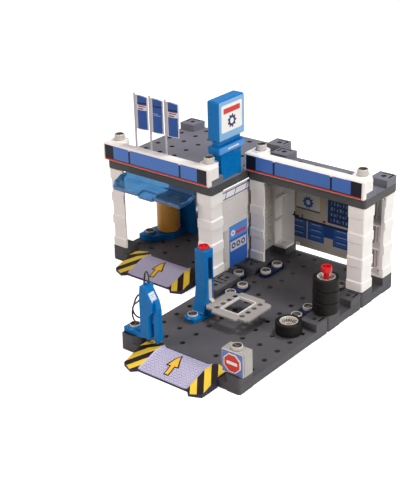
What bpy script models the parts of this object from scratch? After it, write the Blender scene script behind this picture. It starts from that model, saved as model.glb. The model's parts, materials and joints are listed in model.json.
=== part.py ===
"""Toy garage on screw-together floor plates: a car wash, a service bay, a lift, a pump and ramps.

Metres, +Z up. The pieces are placed on a grid of screw holes: cell (0, 0) is the second hole of
the front row on the lower floor, whose surface is z = 0. The empty named garage carries all of
them and moves the grid so that the origin is under the middle of the whole object, on the ground.
"""
import math

import bmesh
import bpy
from mathutils import Matrix, Vector

# Grid and clearances
PITCH = 0.0332
GAP = 0.0003
TURNED_STEPS = 16
ARC_STEPS = 2

# Floor plates
PLATE_CELLS = 7
HALF_PLATE_CELLS = 3
PLATE_DEPTH = 0.0150
FLOOR_THICKNESS = 0.0026
SKIRT_THICKNESS = 0.0024
FOOT_DROP = 0.0012
PLATE_CORNER_RADIUS = 0.0080
RIB_THICKNESS = 0.0020
BLOCK_WIDTH = 0.0326
BLOCK_HEIGHT = 0.0126
HOLE_DIAMETER = 0.0093
HOLE_SIDES = 6
STOREY_HEIGHT = 0.1773

# Columns
COLUMN_WIDTH = 0.0312
COLUMN_WALL = 0.0022
COLUMN_LIP = 0.0078
COLUMN_CORNER_RADIUS = 0.0040
COLUMN_END_THICKNESS = 0.0040
QUOIN_RELIEF = 0.0020
QUOIN_HEIGHT = 0.0150
QUOIN_PITCH = 0.0430
QUOIN_LEDGE = 0.0025
QUOIN_COUNT = 4
COLUMN_RIB_THICKNESS = 0.0018

# Screws
SCREW_HEAD_DIAMETER = 0.0182
SCREW_HEAD_HEIGHT = 0.0102
SCREW_SHAFT_DIAMETER = 0.0064
SCREW_BORE_DIAMETER = 0.0074
SCREW_SIDES = 8
LONG_SHAFT = 0.0300
SHORT_SHAFT = 0.0120

# Walls
WALL_THICKNESS = 0.0022
WALL_TOP_CLEARANCE = 0.0036
WALL_SETBACK = 0.0026
BOARD_HEIGHT = 0.0133
BOARD_STEP = 0.0006
BRICK_COURSE = 0.0120
MORTAR_WIDTH = 0.0012
MORTAR_DEPTH = 0.0006
TRIM_THICKNESS = 0.0010
TRUSS_BAND_HEIGHT = 0.0146
TRUSS_BAND_DROP = 0.0012
TRUSS_BAND_LENGTH = 0.0750
WALL_PANEL_WIDTH = 0.0531
WALL_PANEL_HEIGHT = 0.0780
WALL_PANEL_OFFSET = 0.0140
CLIP_WIDTH = 0.0080
CLIP_HEIGHT = 0.0060
CLIP_DEPTH = 0.0030

# Fascias over the roofs' front edges
FASCIA_OVERHANG = 0.0016
FASCIA_FRONT = 0.0073
FASCIA_BACK = 0.0116
FASCIA_BOTTOM = 0.0033
FASCIA_TOP = 0.0345
FASCIA_EDGE = 0.0022
FASCIA_END_PROUD = 0.0007
FASCIA_END_BACK = 0.0206
FASCIA_END_TOP = 0.0352
BOSS_DIAMETER = 0.0310
BOSS_TOP = 0.0362

# Clips that hold two plates together
CONNECTOR_LENGTH = 0.0581
CONNECTOR_WIDTH = 0.0212
CONNECTOR_TIP_WIDTH = 0.0130
CONNECTOR_TAPER = 0.0090
CONNECTOR_THICKNESS = 0.0053
CONNECTOR_EDGE = 0.0012

# Canopy over the wash entry
CANOPY_PIN_DIAMETER = 0.0038
CANOPY_PIN_CLEARANCE = 0.0004
CANOPY_PIN_REACH = 0.0024
CANOPY_HINGE_DROP = 0.0056
CANOPY_TILT = math.radians(20.5)
CANOPY_SIDE_CLEARANCE = 0.0022
CANOPY_REAR = 0.0068
CANOPY_LENGTH = 0.0400
CANOPY_SIDE_LENGTH = 0.0190
CANOPY_FRONT_INSET = 0.0085
CANOPY_SHEET = 0.0018
CANOPY_RIM_HEIGHT = 0.0070
CANOPY_RIM_THICKNESS = 0.0018
CANOPY_ARM_WIDTH = 0.0045
TAB_WIDTH = 0.0365
TAB_DEPTH = 0.0190
TAB_PROUD = 0.0030

# Wash roller on its stand
STAND_BASE_THICKNESS = 0.0100
STAND_PANEL_THICKNESS = 0.0045
STAND_PANEL_HEIGHT = 0.0880
STAND_PANEL_WIDTH = 0.0640
STAND_ARM_THICKNESS = 0.0050
STAND_ARM_WIDTH = 0.0160
STAND_PANEL_CLEARANCE = 0.0045
STAND_FOOT_MARGIN = 0.0050
STAND_EDGE = 0.0006
ROLLER_DIAMETER = 0.0432
ROLLER_LENGTH = 0.0660
ROLLER_EDGE = 0.0036
ROLLER_END_CLEARANCE = 0.0006
AXLE_DIAMETER = 0.0050
AXLE_BORE_DIAMETER = 0.0060

# Lift
LIFT_HEIGHT = 0.1162
LIFT_COLUMN_X = 0.0232
LIFT_COLUMN_Y = 0.0196
LIFT_CAVITY_X = 0.0146
LIFT_CAVITY_Y = 0.0132
LIFT_CAP = 0.0065
LIFT_SLOT_WIDTH = 0.0078
LIFT_SLOT_LOW = 0.0150
LIFT_SLOT_HIGH = 0.1030
LIFT_FOOT_THICKNESS = 0.0066
LIFT_FOOT_WIDTH = 0.0190
LIFT_FOOT_FLARE = 0.0280
LIFT_FOOT_FRONT = 0.0095
LIFT_EDGE = 0.0012
LIFT_FLARE_HEIGHT = 0.0500
LIFT_FLARE_BEND = 0.0280
LIFT_SADDLE_HEIGHT = 0.0125
LIFT_SADDLE_EDGE = 0.0030
LIFT_SADDLE_CLEARANCE = 0.0010
LIFT_SCREW_DIAMETER = 0.0054
LIFT_SCREW_BORE = 0.0062
LIFT_KNOB_DIAMETER = 0.0182
LIFT_KNOB_HEIGHT = 0.0083
CARRIAGE_CLEARANCE = 0.0005
CARRIAGE_LOW = 0.0170
CARRIAGE_HIGH = 0.0625
CARRIAGE_REACH = 0.0130
PLATFORM_TOP = 0.0240
PLATFORM_THICKNESS = 0.0076
PLATFORM_SHEET = 0.0026
PLATFORM_LENGTH = 0.0681
PLATFORM_WIDTH = 0.0867
PLATFORM_LEAF_WIDTH = 0.0465
PLATFORM_LEAF_DEPTH = 0.0066
PLATFORM_WINDOW_X = 0.0325
PLATFORM_WINDOW_Y = 0.0475
PLATFORM_RIM = 0.0020
PLATFORM_RIM_HEIGHT = 0.0014
PLATFORM_CLEARANCE = 0.0010
PLATFORM_HOLE_DIAMETER = 0.0088
PLATFORM_HOLE_ROWS = 4
PLATFORM_SHIFT_Y = 0.0155

# Ramps
RAMP_WIDTH = 0.1527
RAMP_REACH = 0.0455
RAMP_LANDING = 0.0292
RAMP_WING = 0.0282
RAMP_NOTCH = 0.0083
RAMP_THICKNESS = 0.0030
RAMP_TOE = 0.0040
RAMP_SIDE_SKIRT = 0.0030
RAMP_BROW = 0.0033

# Fuel pump
PUMP_DEPTH = 0.0199
PUMP_FOOT_THICKNESS = 0.0085
PUMP_FOOT_LENGTH = 0.0300
PUMP_FOOT_EDGE = 0.0010
PUMP_FOOT_LAP = 0.0040
PUMP_FLOOR = 0.0140
PUMP_HEIGHT = 0.1029
PUMP_BACK_WIDTH = 0.0239
PUMP_HEAD_WIDTH = 0.0315
PUMP_HEAD_LOW = 0.0631
PUMP_HEAD_HIGH = 0.0764
PUMP_UNDERCUT = 0.0100
PUMP_CROWN_HEIGHT = 0.0066
PUMP_CROWN_LEFT = 0.0060
PUMP_CROWN_RIGHT = 0.0040
PUMP_CROWN_TAPER = 0.0020
NOZZLE_WIDTH = 0.0085
NOZZLE_DEPTH = 0.0100
NOZZLE_LOW = 0.0066
NOZZLE_HIGH = 0.0830
NOZZLE_SEAT = 0.0010
NOZZLE_EDGE = 0.0024
SOCKET_DIAMETER = 0.0064
SOCKET_HEIGHT = 0.0030
HOSE_DIAMETER = 0.0028
HOSE_STEP = 0.0078
HOSE_RESOLUTION = 2
ROUTE_SAMPLES = 12

# Stop sign
SIGN_BOX_WIDTH = 0.0398
SIGN_BOX_DEPTH = 0.0216
SIGN_BOX_HEIGHT = 0.0385
SIGN_BOX_BULGE = 0.0016
SIGN_BOX_STEPS = 4
SIGN_PLATE_WIDTH = 0.0300
SIGN_PLATE_THICKNESS = 0.0016

# Wheels
WHEEL_DIAMETER = 0.0465
WHEEL_WIDTH = 0.0202
TYRE_SHOULDER = 0.0034
RIM_DIAMETER = 0.0300
RIM_LIP = 0.0016
RIM_DISH = 0.0048
RIM_BORE = 0.0102
HUB_DIAMETER = 0.0150
SPOKE_COUNT = 6
SPOKE_THICKNESS = 0.0022
POST_DIAMETER = 0.0090
POST_HEAD_DIAMETER = 0.0206
POST_HEAD_HEIGHT = 0.0133
POST_NECK = 0.0040
POST_SIDES = 12
POST_PEG_CLEARANCE = 0.0010

# Sign tower on the wash roof
TOWER_DEPTH = 0.0199
TOWER_BASE_WIDTH = 0.0538
TOWER_BASE_HEIGHT = 0.0455
TOWER_BASE_SETBACK = 0.0070
COLLAR_WIDTH = 0.0710
COLLAR_DEPTH = 0.0240
COLLAR_HEIGHT = 0.0133
TOWER_NECK_HEIGHT = 0.0092
TOWER_NECK_INSET = 0.0032
TOWER_BOX_HEIGHT = 0.0697
TOWER_EDGE = 0.0024

# Flags
FLAG_COUNT = 3
FLAG_SPACING = 0.0342
FLAG_POST_DIAMETER = 0.0036
FLAG_POST_HEIGHT = 0.1250
FLAG_WIDTH = 0.0286
FLAG_HEIGHT = 0.0590
FLAG_THICKNESS = 0.0014
FLAG_BOW = 0.0030
FLAG_TOP_GAP = 0.0035
FLAG_FOOT_DIAMETER = 0.0110
FLAG_FOOT_HEIGHT = 0.0030
FLAG_STEPS = 4

# Cells that the pieces stand on, as column and row
FRONT_PLATE_CENTRE = (2, 2)
MID_PLATE_CENTRE = (2, 7)
BACK_PLATE_CENTRE = (2, 10)
WASH_PLATE_CENTRE = (-5, 9)
STAND_SCREW_CELL = (-8, 8)
ROLLER_CELL = (-7.45, 9.0)
LIFT_SCREW_CELL = (0, 2)
LIFT_COLUMN_CELL = (0.05, 2.91)
PUMP_CELL = (-1, -1)
STOP_SIGN_CELL = (5, -1)
WHEEL_STACK_CELL = (5, 6)
LOOSE_WHEEL_CELL = (4.4, 3.78)
FLAG_CELL = (-7.0, 6.2)
TOWER_FRONT_ROW = 6.62
RAMP_COLUMN = 2

ROOF_Z = STOREY_HEIGHT
COLUMN_Z = BLOCK_HEIGHT + GAP
COLUMN_HEIGHT = STOREY_HEIGHT - PLATE_DEPTH - BLOCK_HEIGHT - 2 * GAP
PLATE_EDGE = PLATE_CELLS * PITCH / 2
MERGE_DISTANCE = 0.000005

for old in list(bpy.data.objects):
    bpy.data.objects.remove(old)


def cell(place, height=0.0):
    """Point over a grid cell, given as (column, row)."""
    return Vector((place[0] * PITCH, place[1] * PITCH, height))


def shifted(place, columns, rows):
    return (place[0] + columns, place[1] + rows)


# Solids


def on_axis(u, v, w, axis):
    """An outline's point (u, v) at the length w along an axis."""
    if axis == "X":
        return Vector((w, u, v))
    if axis == "Y":
        return Vector((u, w, v))
    return Vector((u, v, w))


def loft(rings):
    """Closed solid through rings of points, all with the same number of points."""
    solid = bmesh.new()
    loops = []
    for ring in rings:
        verts = [solid.verts.new(point) for point in ring]
        loops.append([solid.edges.new(pair) for pair in zip(verts, verts[1:] + verts[:1])])
        if ring is rings[0] or ring is rings[-1]:
            solid.faces.new(verts)
    for low, high in zip(loops, loops[1:]):
        bmesh.ops.bridge_loops(solid, edges=low + high)
    bmesh.ops.recalc_face_normals(solid, faces=solid.faces)
    return solid


def prism(outline, low, high, axis="Z"):
    """An outline carried along an axis: (x, y) along Z, (y, z) along X or (x, z) along Y."""
    solid = bmesh.new()
    face = solid.faces.new([solid.verts.new(on_axis(u, v, low, axis)) for u, v in outline])
    made = bmesh.ops.extrude_face_region(solid, geom=[face])
    verts = [item for item in made["geom"] if isinstance(item, bmesh.types.BMVert)]
    bmesh.ops.translate(solid, verts=verts, vec=on_axis(0, 0, high - low, axis))
    bmesh.ops.recalc_face_normals(solid, faces=solid.faces)
    return solid


def box(low, high, edge=0.0):
    """Box between two corners, with its edges cut back where asked."""
    outline = [(low[0], low[1]), (high[0], low[1]), (high[0], high[1]), (low[0], high[1])]
    solid = prism(outline, low[2], high[2])
    if edge:
        bmesh.ops.bevel(solid, geom=solid.edges[:], offset=edge, segments=1, affect="EDGES")
    return solid


def turned(profile, steps=TURNED_STEPS, ring=False):
    """Solid turned about Z from (radius, z) points, which start and end on the axis or form a ring."""
    solid = bmesh.new()
    verts = [solid.verts.new((radius, 0, z)) for radius, z in profile]
    edges = [solid.edges.new(pair) for pair in zip(verts, verts[1:])]
    if ring:
        edges.append(solid.edges.new((verts[-1], verts[0])))
    bmesh.ops.spin(solid, geom=verts + edges, cent=(0, 0, 0), axis=(0, 0, 1), angle=2 * math.pi,
                   steps=steps, use_merge=True)
    bmesh.ops.remove_doubles(solid, verts=solid.verts, dist=MERGE_DISTANCE)
    bmesh.ops.recalc_face_normals(solid, faces=solid.faces)
    return solid


def cylinder(diameter, low, high, steps=TURNED_STEPS, axis="Z"):
    """Round bar along an axis through the origin."""
    turn = 2 * math.pi / steps
    outline = [(diameter / 2 * math.cos(k * turn), diameter / 2 * math.sin(k * turn)) for k in range(steps)]
    return prism(outline, low, high, axis)


def moved(solid, offset):
    bmesh.ops.translate(solid, verts=solid.verts, vec=offset)
    return solid


def turned_about_z(solid, angle):
    bmesh.ops.rotate(solid, verts=solid.verts, cent=(0, 0, 0), matrix=Matrix.Rotation(angle, 3, "Z"))
    return solid


def together(solids):
    """Separate bodies in one mesh."""
    result = bmesh.new()
    for solid in solids:
        scratch = bpy.data.meshes.new("scratch")
        solid.to_mesh(scratch)
        solid.free()
        result.from_mesh(scratch)
        bpy.data.meshes.remove(scratch)
    return result


def combine(base, tool, operation):
    """Boolean of two closed solids, which are both used up."""
    objects = []
    for solid in (base, tool):
        mesh = bpy.data.meshes.new("scratch")
        solid.to_mesh(mesh)
        solid.free()
        thing = bpy.data.objects.new("scratch", mesh)
        bpy.context.collection.objects.link(thing)
        objects.append(thing)
    modifier = objects[0].modifiers.new("combine", "BOOLEAN")
    modifier.object = objects[1]
    modifier.operation = operation
    modifier.solver = "EXACT"
    evaluated = objects[0].evaluated_get(bpy.context.evaluated_depsgraph_get())
    result = bmesh.new()
    result.from_mesh(evaluated.to_mesh())
    evaluated.to_mesh_clear()
    for thing in objects:
        mesh = thing.data
        bpy.data.objects.remove(thing)
        bpy.data.meshes.remove(mesh)
    bmesh.ops.remove_doubles(result, verts=result.verts, dist=MERGE_DISTANCE)
    return result


def cut(solid, tool):
    return combine(solid, tool, "DIFFERENCE")


def united(solid, *others):
    for other in others:
        solid = combine(solid, other, "UNION")
    return solid


def rounded_rectangle(half_x, half_y, radius, steps=ARC_STEPS):
    """Outline about the origin, counterclockwise, with round corners."""
    points = []
    for quarter, (sign_x, sign_y) in enumerate(((1, 1), (-1, 1), (-1, -1), (1, -1))):
        for step in range(steps + 1):
            angle = math.pi / 2 * (quarter + step / steps)
            points.append((sign_x * (half_x - radius) + radius * math.cos(angle),
                           sign_y * (half_y - radius) + radius * math.sin(angle)))
    return points


# Nodes


def linear(channel):
    """One sRGB channel, 0 to 1, as linear light."""
    if channel <= 0.04045:
        return channel / 12.92
    return ((channel + 0.055) / 1.055) ** 2.4


def plastic(name, colour, roughness=0.4, alpha=1.0):
    """Moulded plastic of an sRGB hex colour."""
    material = bpy.data.materials.new(name)
    material.use_nodes = True
    shader = material.node_tree.nodes["Principled BSDF"]
    channels = [linear(int(colour[k:k + 2], 16) / 255) for k in (0, 2, 4)]
    shader.inputs["Base Color"].default_value = (*channels, 1.0)
    shader.inputs["Roughness"].default_value = roughness
    shader.inputs["Metallic"].default_value = 0.0
    shader.inputs["Alpha"].default_value = alpha
    return material


def as_mesh(name, solid, smooth=False):
    mesh = bpy.data.meshes.new(name)
    solid.to_mesh(mesh)
    solid.free()
    mesh.materials.append(None)
    if smooth:
        mesh.shade_smooth()
        mesh.set_sharp_from_angle(angle=math.radians(40))
    return mesh


GARAGE = bpy.data.objects.new("garage", None)
bpy.context.collection.objects.link(GARAGE)


def node(name, data, colour, location=(0, 0, 0), rotation=(0, 0, 0), roughness=0.4, alpha=1.0, smooth=False):
    """Place a piece, as its own object with its own material; data is a solid or a shared mesh."""
    mesh = as_mesh(name, data, smooth) if isinstance(data, bmesh.types.BMesh) else data
    thing = bpy.data.objects.new(name, mesh)
    bpy.context.collection.objects.link(thing)
    thing.parent = GARAGE
    thing.location = location
    thing.rotation_euler = rotation
    slot = thing.material_slots[0]
    slot.link = "OBJECT"
    slot.material = plastic(name, colour, roughness, alpha)
    return thing


GREY = "696C71"
ROOF_GREY = "7A7A86"
WHITE = "EDEAE6"
BLUE = "1F78BE"
NAVY = "16305C"
RED = "D3202A"
SILVER = "C8C4C0"


# Floor plates


def plate(columns, rows):
    """Plate about its middle, floor surface at z = 0: skirt, corner blocks, rib and screw holes."""
    half_x = (columns * PITCH - GAP) / 2
    half_y = (rows * PITCH - GAP) / 2
    skirt_low = FOOT_DROP - PLATE_DEPTH
    solid = prism(rounded_rectangle(half_x, half_y, PLATE_CORNER_RADIUS), skirt_low, 0)
    pocket = rounded_rectangle(half_x - SKIRT_THICKNESS, half_y - SKIRT_THICKNESS, PLATE_CORNER_RADIUS)
    solid = cut(solid, prism(pocket, -2 * PLATE_DEPTH, -FLOOR_THICKNESS))
    corners = [((columns - 1) / 2 * PITCH * x, (rows - 1) / 2 * PITCH * y) for x in (-1, 1) for y in (-1, 1)]
    block = rounded_rectangle(BLOCK_WIDTH / 2, BLOCK_WIDTH / 2, PLATE_CORNER_RADIUS)
    for x, y in corners:
        solid = united(solid, moved(prism(block, -PLATE_DEPTH, BLOCK_HEIGHT), (x, y, 0)))
    rib = box((-RIB_THICKNESS / 2, SKIRT_THICKNESS / 2 - half_y, skirt_low + FOOT_DROP),
              (RIB_THICKNESS / 2, half_y - SKIRT_THICKNESS / 2, -FLOOR_THICKNESS / 2))
    solid = united(solid, rib)
    holes = []
    for column in range(columns):
        for row in range(rows):
            x = (column - (columns - 1) / 2) * PITCH
            y = (row - (rows - 1) / 2) * PITCH
            if column != columns // 2:
                hole = cylinder(HOLE_DIAMETER, -2 * PLATE_DEPTH, 2 * BLOCK_HEIGHT, HOLE_SIDES)
                holes.append(moved(hole, (x, y, 0)))
    solid = cut(solid, together(holes))
    return solid


SQUARE_PLATE = as_mesh("square_plate", plate(PLATE_CELLS, PLATE_CELLS))
HALF_PLATE = as_mesh("half_plate", plate(PLATE_CELLS, HALF_PLATE_CELLS))
node("base_plate_front", SQUARE_PLATE, GREY, cell(FRONT_PLATE_CENTRE))
node("base_plate_mid", HALF_PLATE, GREY, cell(MID_PLATE_CENTRE))
node("base_plate_back", HALF_PLATE, GREY, cell(BACK_PLATE_CENTRE))
node("base_plate_wash", SQUARE_PLATE, GREY, cell(WASH_PLATE_CENTRE))
node("roof_plate_wash", SQUARE_PLATE, ROOF_GREY, cell(WASH_PLATE_CENTRE, ROOF_Z))
node("roof_plate_bay", HALF_PLATE, ROOF_GREY, cell(BACK_PLATE_CENTRE, ROOF_Z))


# Columns


def corner_arc(outer):
    """Round outer corner of a column's plan, from -X to -Y, about one centre for all depths."""
    centre = COLUMN_CORNER_RADIUS - COLUMN_WIDTH / 2
    radius = centre - outer
    arc = []
    for step in range(ARC_STEPS + 1):
        angle = math.pi + math.pi / 2 * step / ARC_STEPS
        arc.append((centre + radius * math.cos(angle), centre + radius * math.sin(angle)))
    return arc


def raised(outline, z):
    return [Vector((x, y, z)) for x, y in outline]


def quoin_ring(outer, z):
    """Raised stone's outline: the outer walls alone, out to outer."""
    end = COLUMN_WIDTH / 2 - GAP
    inner = QUOIN_RELIEF + COLUMN_WALL * 3 / 4 - COLUMN_WIDTH / 2
    outline = [(end, outer), (end, inner), (inner, inner), (inner, end), (outer, end)] + corner_arc(outer)
    return raised(outline, z)


CANOPY_HINGE_Z = STOREY_HEIGHT - PLATE_DEPTH - CANOPY_HINGE_DROP
CANOPY_HINGE_INSET = COLUMN_LIP / 2


def column():
    """Corner column about its cell, bottom at z = 0: closed to -X and -Y with raised stones, ribbed inside."""
    half = COLUMN_WIDTH / 2
    face = QUOIN_RELIEF - half
    solid = prism([(half, face), (half, half), (face, half)] + corner_arc(face), 0, COLUMN_HEIGHT)
    inner = face + COLUMN_WALL
    lip = COLUMN_LIP - half
    outer_wall = half - COLUMN_WALL
    bay = [(inner, inner), (outer_wall, inner), (outer_wall, lip), (2 * half, lip),
           (2 * half, 2 * half), (lip, 2 * half), (lip, outer_wall), (inner, outer_wall)]
    floors = [COLUMN_END_THICKNESS]
    for step in range(QUOIN_COUNT):
        low = step * QUOIN_PITCH + GAP
        high = low + QUOIN_HEIGHT
        rings = [quoin_ring(-half, low), quoin_ring(-half, high), quoin_ring(face + GAP, high + QUOIN_LEDGE)]
        if step == QUOIN_COUNT - 1:
            rings = [quoin_ring(-half, low), quoin_ring(-half, COLUMN_HEIGHT - GAP)]
        elif step:
            floors.append(low + QUOIN_HEIGHT / 2)
        solid = united(solid, loft(rings))
    ceilings = [floor - COLUMN_RIB_THICKNESS for floor in floors[1:]] + [COLUMN_HEIGHT - COLUMN_END_THICKNESS]
    solid = cut(solid, together([prism(bay, low, high) for low, high in zip(floors, ceilings)]))
    reach = 2 * COLUMN_END_THICKNESS
    ends = [cylinder(HOLE_DIAMETER, z - reach, z + reach, HOLE_SIDES) for z in (0, COLUMN_HEIGHT)]
    solid = cut(solid, together(ends))
    bore = CANOPY_PIN_DIAMETER + 2 * CANOPY_PIN_CLEARANCE
    inset = CANOPY_HINGE_INSET - half
    pin_z = CANOPY_HINGE_Z - COLUMN_Z
    bore_start = half - 2 * COLUMN_WALL
    across = moved(cylinder(bore, bore_start, 2 * half, HOLE_SIDES, "X"), (0, inset, pin_z))
    along = moved(cylinder(bore, bore_start, 2 * half, HOLE_SIDES, "Y"), (inset, 0, pin_z))
    return cut(cut(solid, across), along)


COLUMN = as_mesh("column", column())
QUARTER = math.pi / 2


def columns_under(prefix, centre, rows):
    """Four columns under a roof plate, each with its closed corner outwards."""
    reach_x = (PLATE_CELLS - 1) / 2
    reach_y = (rows - 1) / 2
    corners = (("front_left", -1, -1), ("front_right", 1, -1), ("back_right", 1, 1), ("back_left", -1, 1))
    for turns, (corner, x, y) in enumerate(corners):
        place = shifted(centre, x * reach_x, y * reach_y)
        node(f"{prefix}_column_{corner}", COLUMN, WHITE, cell(place, COLUMN_Z), (0, 0, turns * QUARTER))


columns_under("wash", WASH_PLATE_CENTRE, PLATE_CELLS)
columns_under("bay", BACK_PLATE_CENTRE, HALF_PLATE_CELLS)


# Walls between the columns


WALL_Z = BLOCK_HEIGHT + GAP
WALL_HEIGHT = STOREY_HEIGHT - PLATE_DEPTH - WALL_TOP_CLEARANCE - WALL_Z


def wall_length(cells):
    """Clear length between two columns whose cells are so many apart."""
    return cells * PITCH - COLUMN_WIDTH - 2 * GAP


def siding(length):
    """Boarded wall along Y about its middle, boards on +X, bottom at z = 0."""
    half = WALL_THICKNESS / 2
    boards = math.floor(WALL_HEIGHT / BOARD_HEIGHT)
    outline = [(-half, 0)]
    for board in range(boards):
        low = WALL_HEIGHT * board / boards
        outline += [(half, low), (half - BOARD_STEP, WALL_HEIGHT * (board + 1) / boards)]
    outline.append((-half, WALL_HEIGHT))
    return prism(outline, -length / 2, length / 2, "Y")


def brick_wall(length):
    """Brick wall along Y about its middle, joints cut into +X, bottom at z = 0."""
    half = WALL_THICKNESS / 2
    solid = box((-half, -length / 2, 0), (half, length / 2, WALL_HEIGHT))
    joints = []
    courses = math.floor(WALL_HEIGHT / BRICK_COURSE)
    for course in range(1, courses):
        low = course * BRICK_COURSE
        joints.append(box((half - MORTAR_DEPTH, -length, low), (WALL_THICKNESS, length, low + MORTAR_WIDTH)))
    return cut(solid, together(joints))


WASH_WALL_X = (WASH_PLATE_CENTRE[0] + (PLATE_CELLS - 1) / 2) * PITCH + COLUMN_WIDTH / 2 - WALL_SETBACK
WASH_WALL_LENGTH = wall_length(PLATE_CELLS - 1)
WASH_WALL_START = WASH_PLATE_CENTRE[1] * PITCH - WASH_WALL_LENGTH / 2
TRUSS_TOP = WALL_HEIGHT - TRUSS_BAND_DROP
TRIM_FACE = WALL_THICKNESS / 2 + TRIM_THICKNESS
band = box((0, GAP - WASH_WALL_LENGTH / 2, TRUSS_TOP - TRUSS_BAND_HEIGHT),
           (TRIM_FACE, TRUSS_BAND_LENGTH - WASH_WALL_LENGTH / 2, TRUSS_TOP))
panel_start = WALL_PANEL_OFFSET - WASH_WALL_LENGTH / 2
panel = box((0, panel_start, GAP), (TRIM_FACE, panel_start + WALL_PANEL_WIDTH, WALL_PANEL_HEIGHT))
node("wash_wall_right", united(siding(WASH_WALL_LENGTH), band, panel), WHITE,
     (WASH_WALL_X, WASH_PLATE_CENTRE[1] * PITCH, WALL_Z))

BAY_WALL_X = (BACK_PLATE_CENTRE[0] - (PLATE_CELLS - 1) / 2) * PITCH - COLUMN_WIDTH / 2 + WALL_SETBACK
node("bay_wall_left", brick_wall(wall_length(HALF_PLATE_CELLS - 1)), "8C8E94",
     (BAY_WALL_X, BACK_PLATE_CENTRE[1] * PITCH, WALL_Z))

BACK_WALL_LENGTH = wall_length(PLATE_CELLS - 1)
BACK_WALL_Y = (BACK_PLATE_CENTRE[1] + (HALF_PLATE_CELLS - 1) / 2) * PITCH + COLUMN_WIDTH / 2 - WALL_SETBACK
back_wall = box((-BACK_WALL_LENGTH / 2, -WALL_THICKNESS / 2, 0),
                (BACK_WALL_LENGTH / 2, WALL_THICKNESS / 2, WALL_HEIGHT))
for side in (-1, 1):
    middle = side * (BACK_WALL_LENGTH / 2 - CLIP_WIDTH)
    clip = box((middle - CLIP_WIDTH / 2, -CLIP_DEPTH, GAP), (middle + CLIP_WIDTH / 2, 0, CLIP_HEIGHT), GAP)
    back_wall = united(back_wall, clip)
node("bay_wall_back", back_wall, WHITE, (BACK_PLATE_CENTRE[0] * PITCH, BACK_WALL_Y, WALL_Z))


# Fascias


def fascia():
    """Bar along X over a roof's front edge; y = 0 is the plate's edge, z = 0 its floor."""
    reach = PLATE_EDGE + FASCIA_OVERHANG
    profile = [(-FASCIA_FRONT, FASCIA_BOTTOM), (-FASCIA_FRONT, FASCIA_TOP - FASCIA_EDGE),
               (FASCIA_EDGE - FASCIA_FRONT, FASCIA_TOP), (FASCIA_BACK - FASCIA_EDGE, FASCIA_TOP),
               (FASCIA_BACK, FASCIA_TOP - FASCIA_EDGE), (FASCIA_BACK, FASCIA_BOTTOM)]
    solid = prism(profile, FASCIA_END_PROUD - reach, reach - FASCIA_END_PROUD, "X")
    screw_x = (PLATE_CELLS - 1) / 2 * PITCH
    for side in (-1, 1):
        inner = side * (PLATE_EDGE - PITCH)
        low_x, high_x = sorted((inner, side * reach))
        end = box((low_x, -FASCIA_FRONT - FASCIA_END_PROUD, FASCIA_BOTTOM - FASCIA_END_PROUD),
                  (high_x, FASCIA_END_BACK, FASCIA_END_TOP), FASCIA_EDGE)
        boss = moved(cylinder(BOSS_DIAMETER, FASCIA_BOTTOM, BOSS_TOP), (side * screw_x, PITCH / 2, 0))
        solid = united(solid, end, boss)
    for side in (-1, 1):
        inner = side * (PLATE_EDGE - PITCH - GAP)
        low_x, high_x = sorted((inner, side * 2 * reach))
        solid = cut(solid, box((low_x, -GAP, -BLOCK_HEIGHT), (high_x, 2 * PITCH, BLOCK_HEIGHT + GAP)))
        bore = cylinder(SCREW_BORE_DIAMETER, -BLOCK_HEIGHT, 2 * BOSS_TOP, SCREW_SIDES)
        solid = cut(solid, moved(bore, (side * screw_x, PITCH / 2, 0)))
    return solid


FASCIA = as_mesh("fascia", fascia(), smooth=True)


def front_edge(centre, rows):
    return Vector((centre[0] * PITCH, (centre[1] - rows / 2) * PITCH, ROOF_Z))


node("wash_fascia", FASCIA, WHITE, front_edge(WASH_PLATE_CENTRE, PLATE_CELLS))
node("bay_fascia", FASCIA, WHITE, front_edge(BACK_PLATE_CENTRE, HALF_PLATE_CELLS))


# Screws and connectors


def screw(shaft):
    """Round-headed screw, underside of the head at z = 0."""
    head = SCREW_HEAD_DIAMETER / 2
    stem = SCREW_SHAFT_DIAMETER / 2
    edge = SCREW_HEAD_HEIGHT / 4
    return turned([(0, -shaft), (stem, -shaft), (stem, 0), (head, 0), (head, SCREW_HEAD_HEIGHT - edge),
                   (head - edge, SCREW_HEAD_HEIGHT), (0, SCREW_HEAD_HEIGHT)], SCREW_SIDES)


LONG_SCREW = as_mesh("long_screw", screw(LONG_SHAFT), smooth=True)
SHORT_SCREW = as_mesh("short_screw", screw(SHORT_SHAFT), smooth=True)

CORNER_REACH = (PLATE_CELLS - 1) / 2
for prefix, centre, rows in (("wash", WASH_PLATE_CENTRE, PLATE_CELLS), ("bay", BACK_PLATE_CENTRE, HALF_PLATE_CELLS)):
    for side_name, side in (("left", -1), ("right", 1)):
        corner = shifted(centre, side * CORNER_REACH, -(rows - 1) / 2)
        node(f"{prefix}_roof_screw_{side_name}", LONG_SCREW, SILVER, cell(corner, ROOF_Z + BOSS_TOP + GAP),
             roughness=0.3)


def connector():
    """Clip along Y about its middle, underside at z = 0, with the screw in each of its two bores."""
    tip = CONNECTOR_TIP_WIDTH / 2
    wide = CONNECTOR_WIDTH / 2
    end = CONNECTOR_LENGTH / 2
    start = end - CONNECTOR_TAPER
    outline = [(tip, -end), (wide, -start), (wide, start), (tip, end),
               (-tip, end), (-wide, start), (-wide, -start), (-tip, -end)]
    low = raised(outline, 0)
    middle = raised(outline, CONNECTOR_THICKNESS - CONNECTOR_EDGE)
    top = [Vector((x - math.copysign(CONNECTOR_EDGE, x), y - math.copysign(CONNECTOR_EDGE, y), CONNECTOR_THICKNESS))
           for x, y in outline]
    solid = loft([low, middle, top])
    for side in (-1, 1):
        solid = united(solid, moved(screw(SHORT_SHAFT), (0, side * PITCH / 2, CONNECTOR_THICKNESS - GAP)))
    return solid


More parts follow.
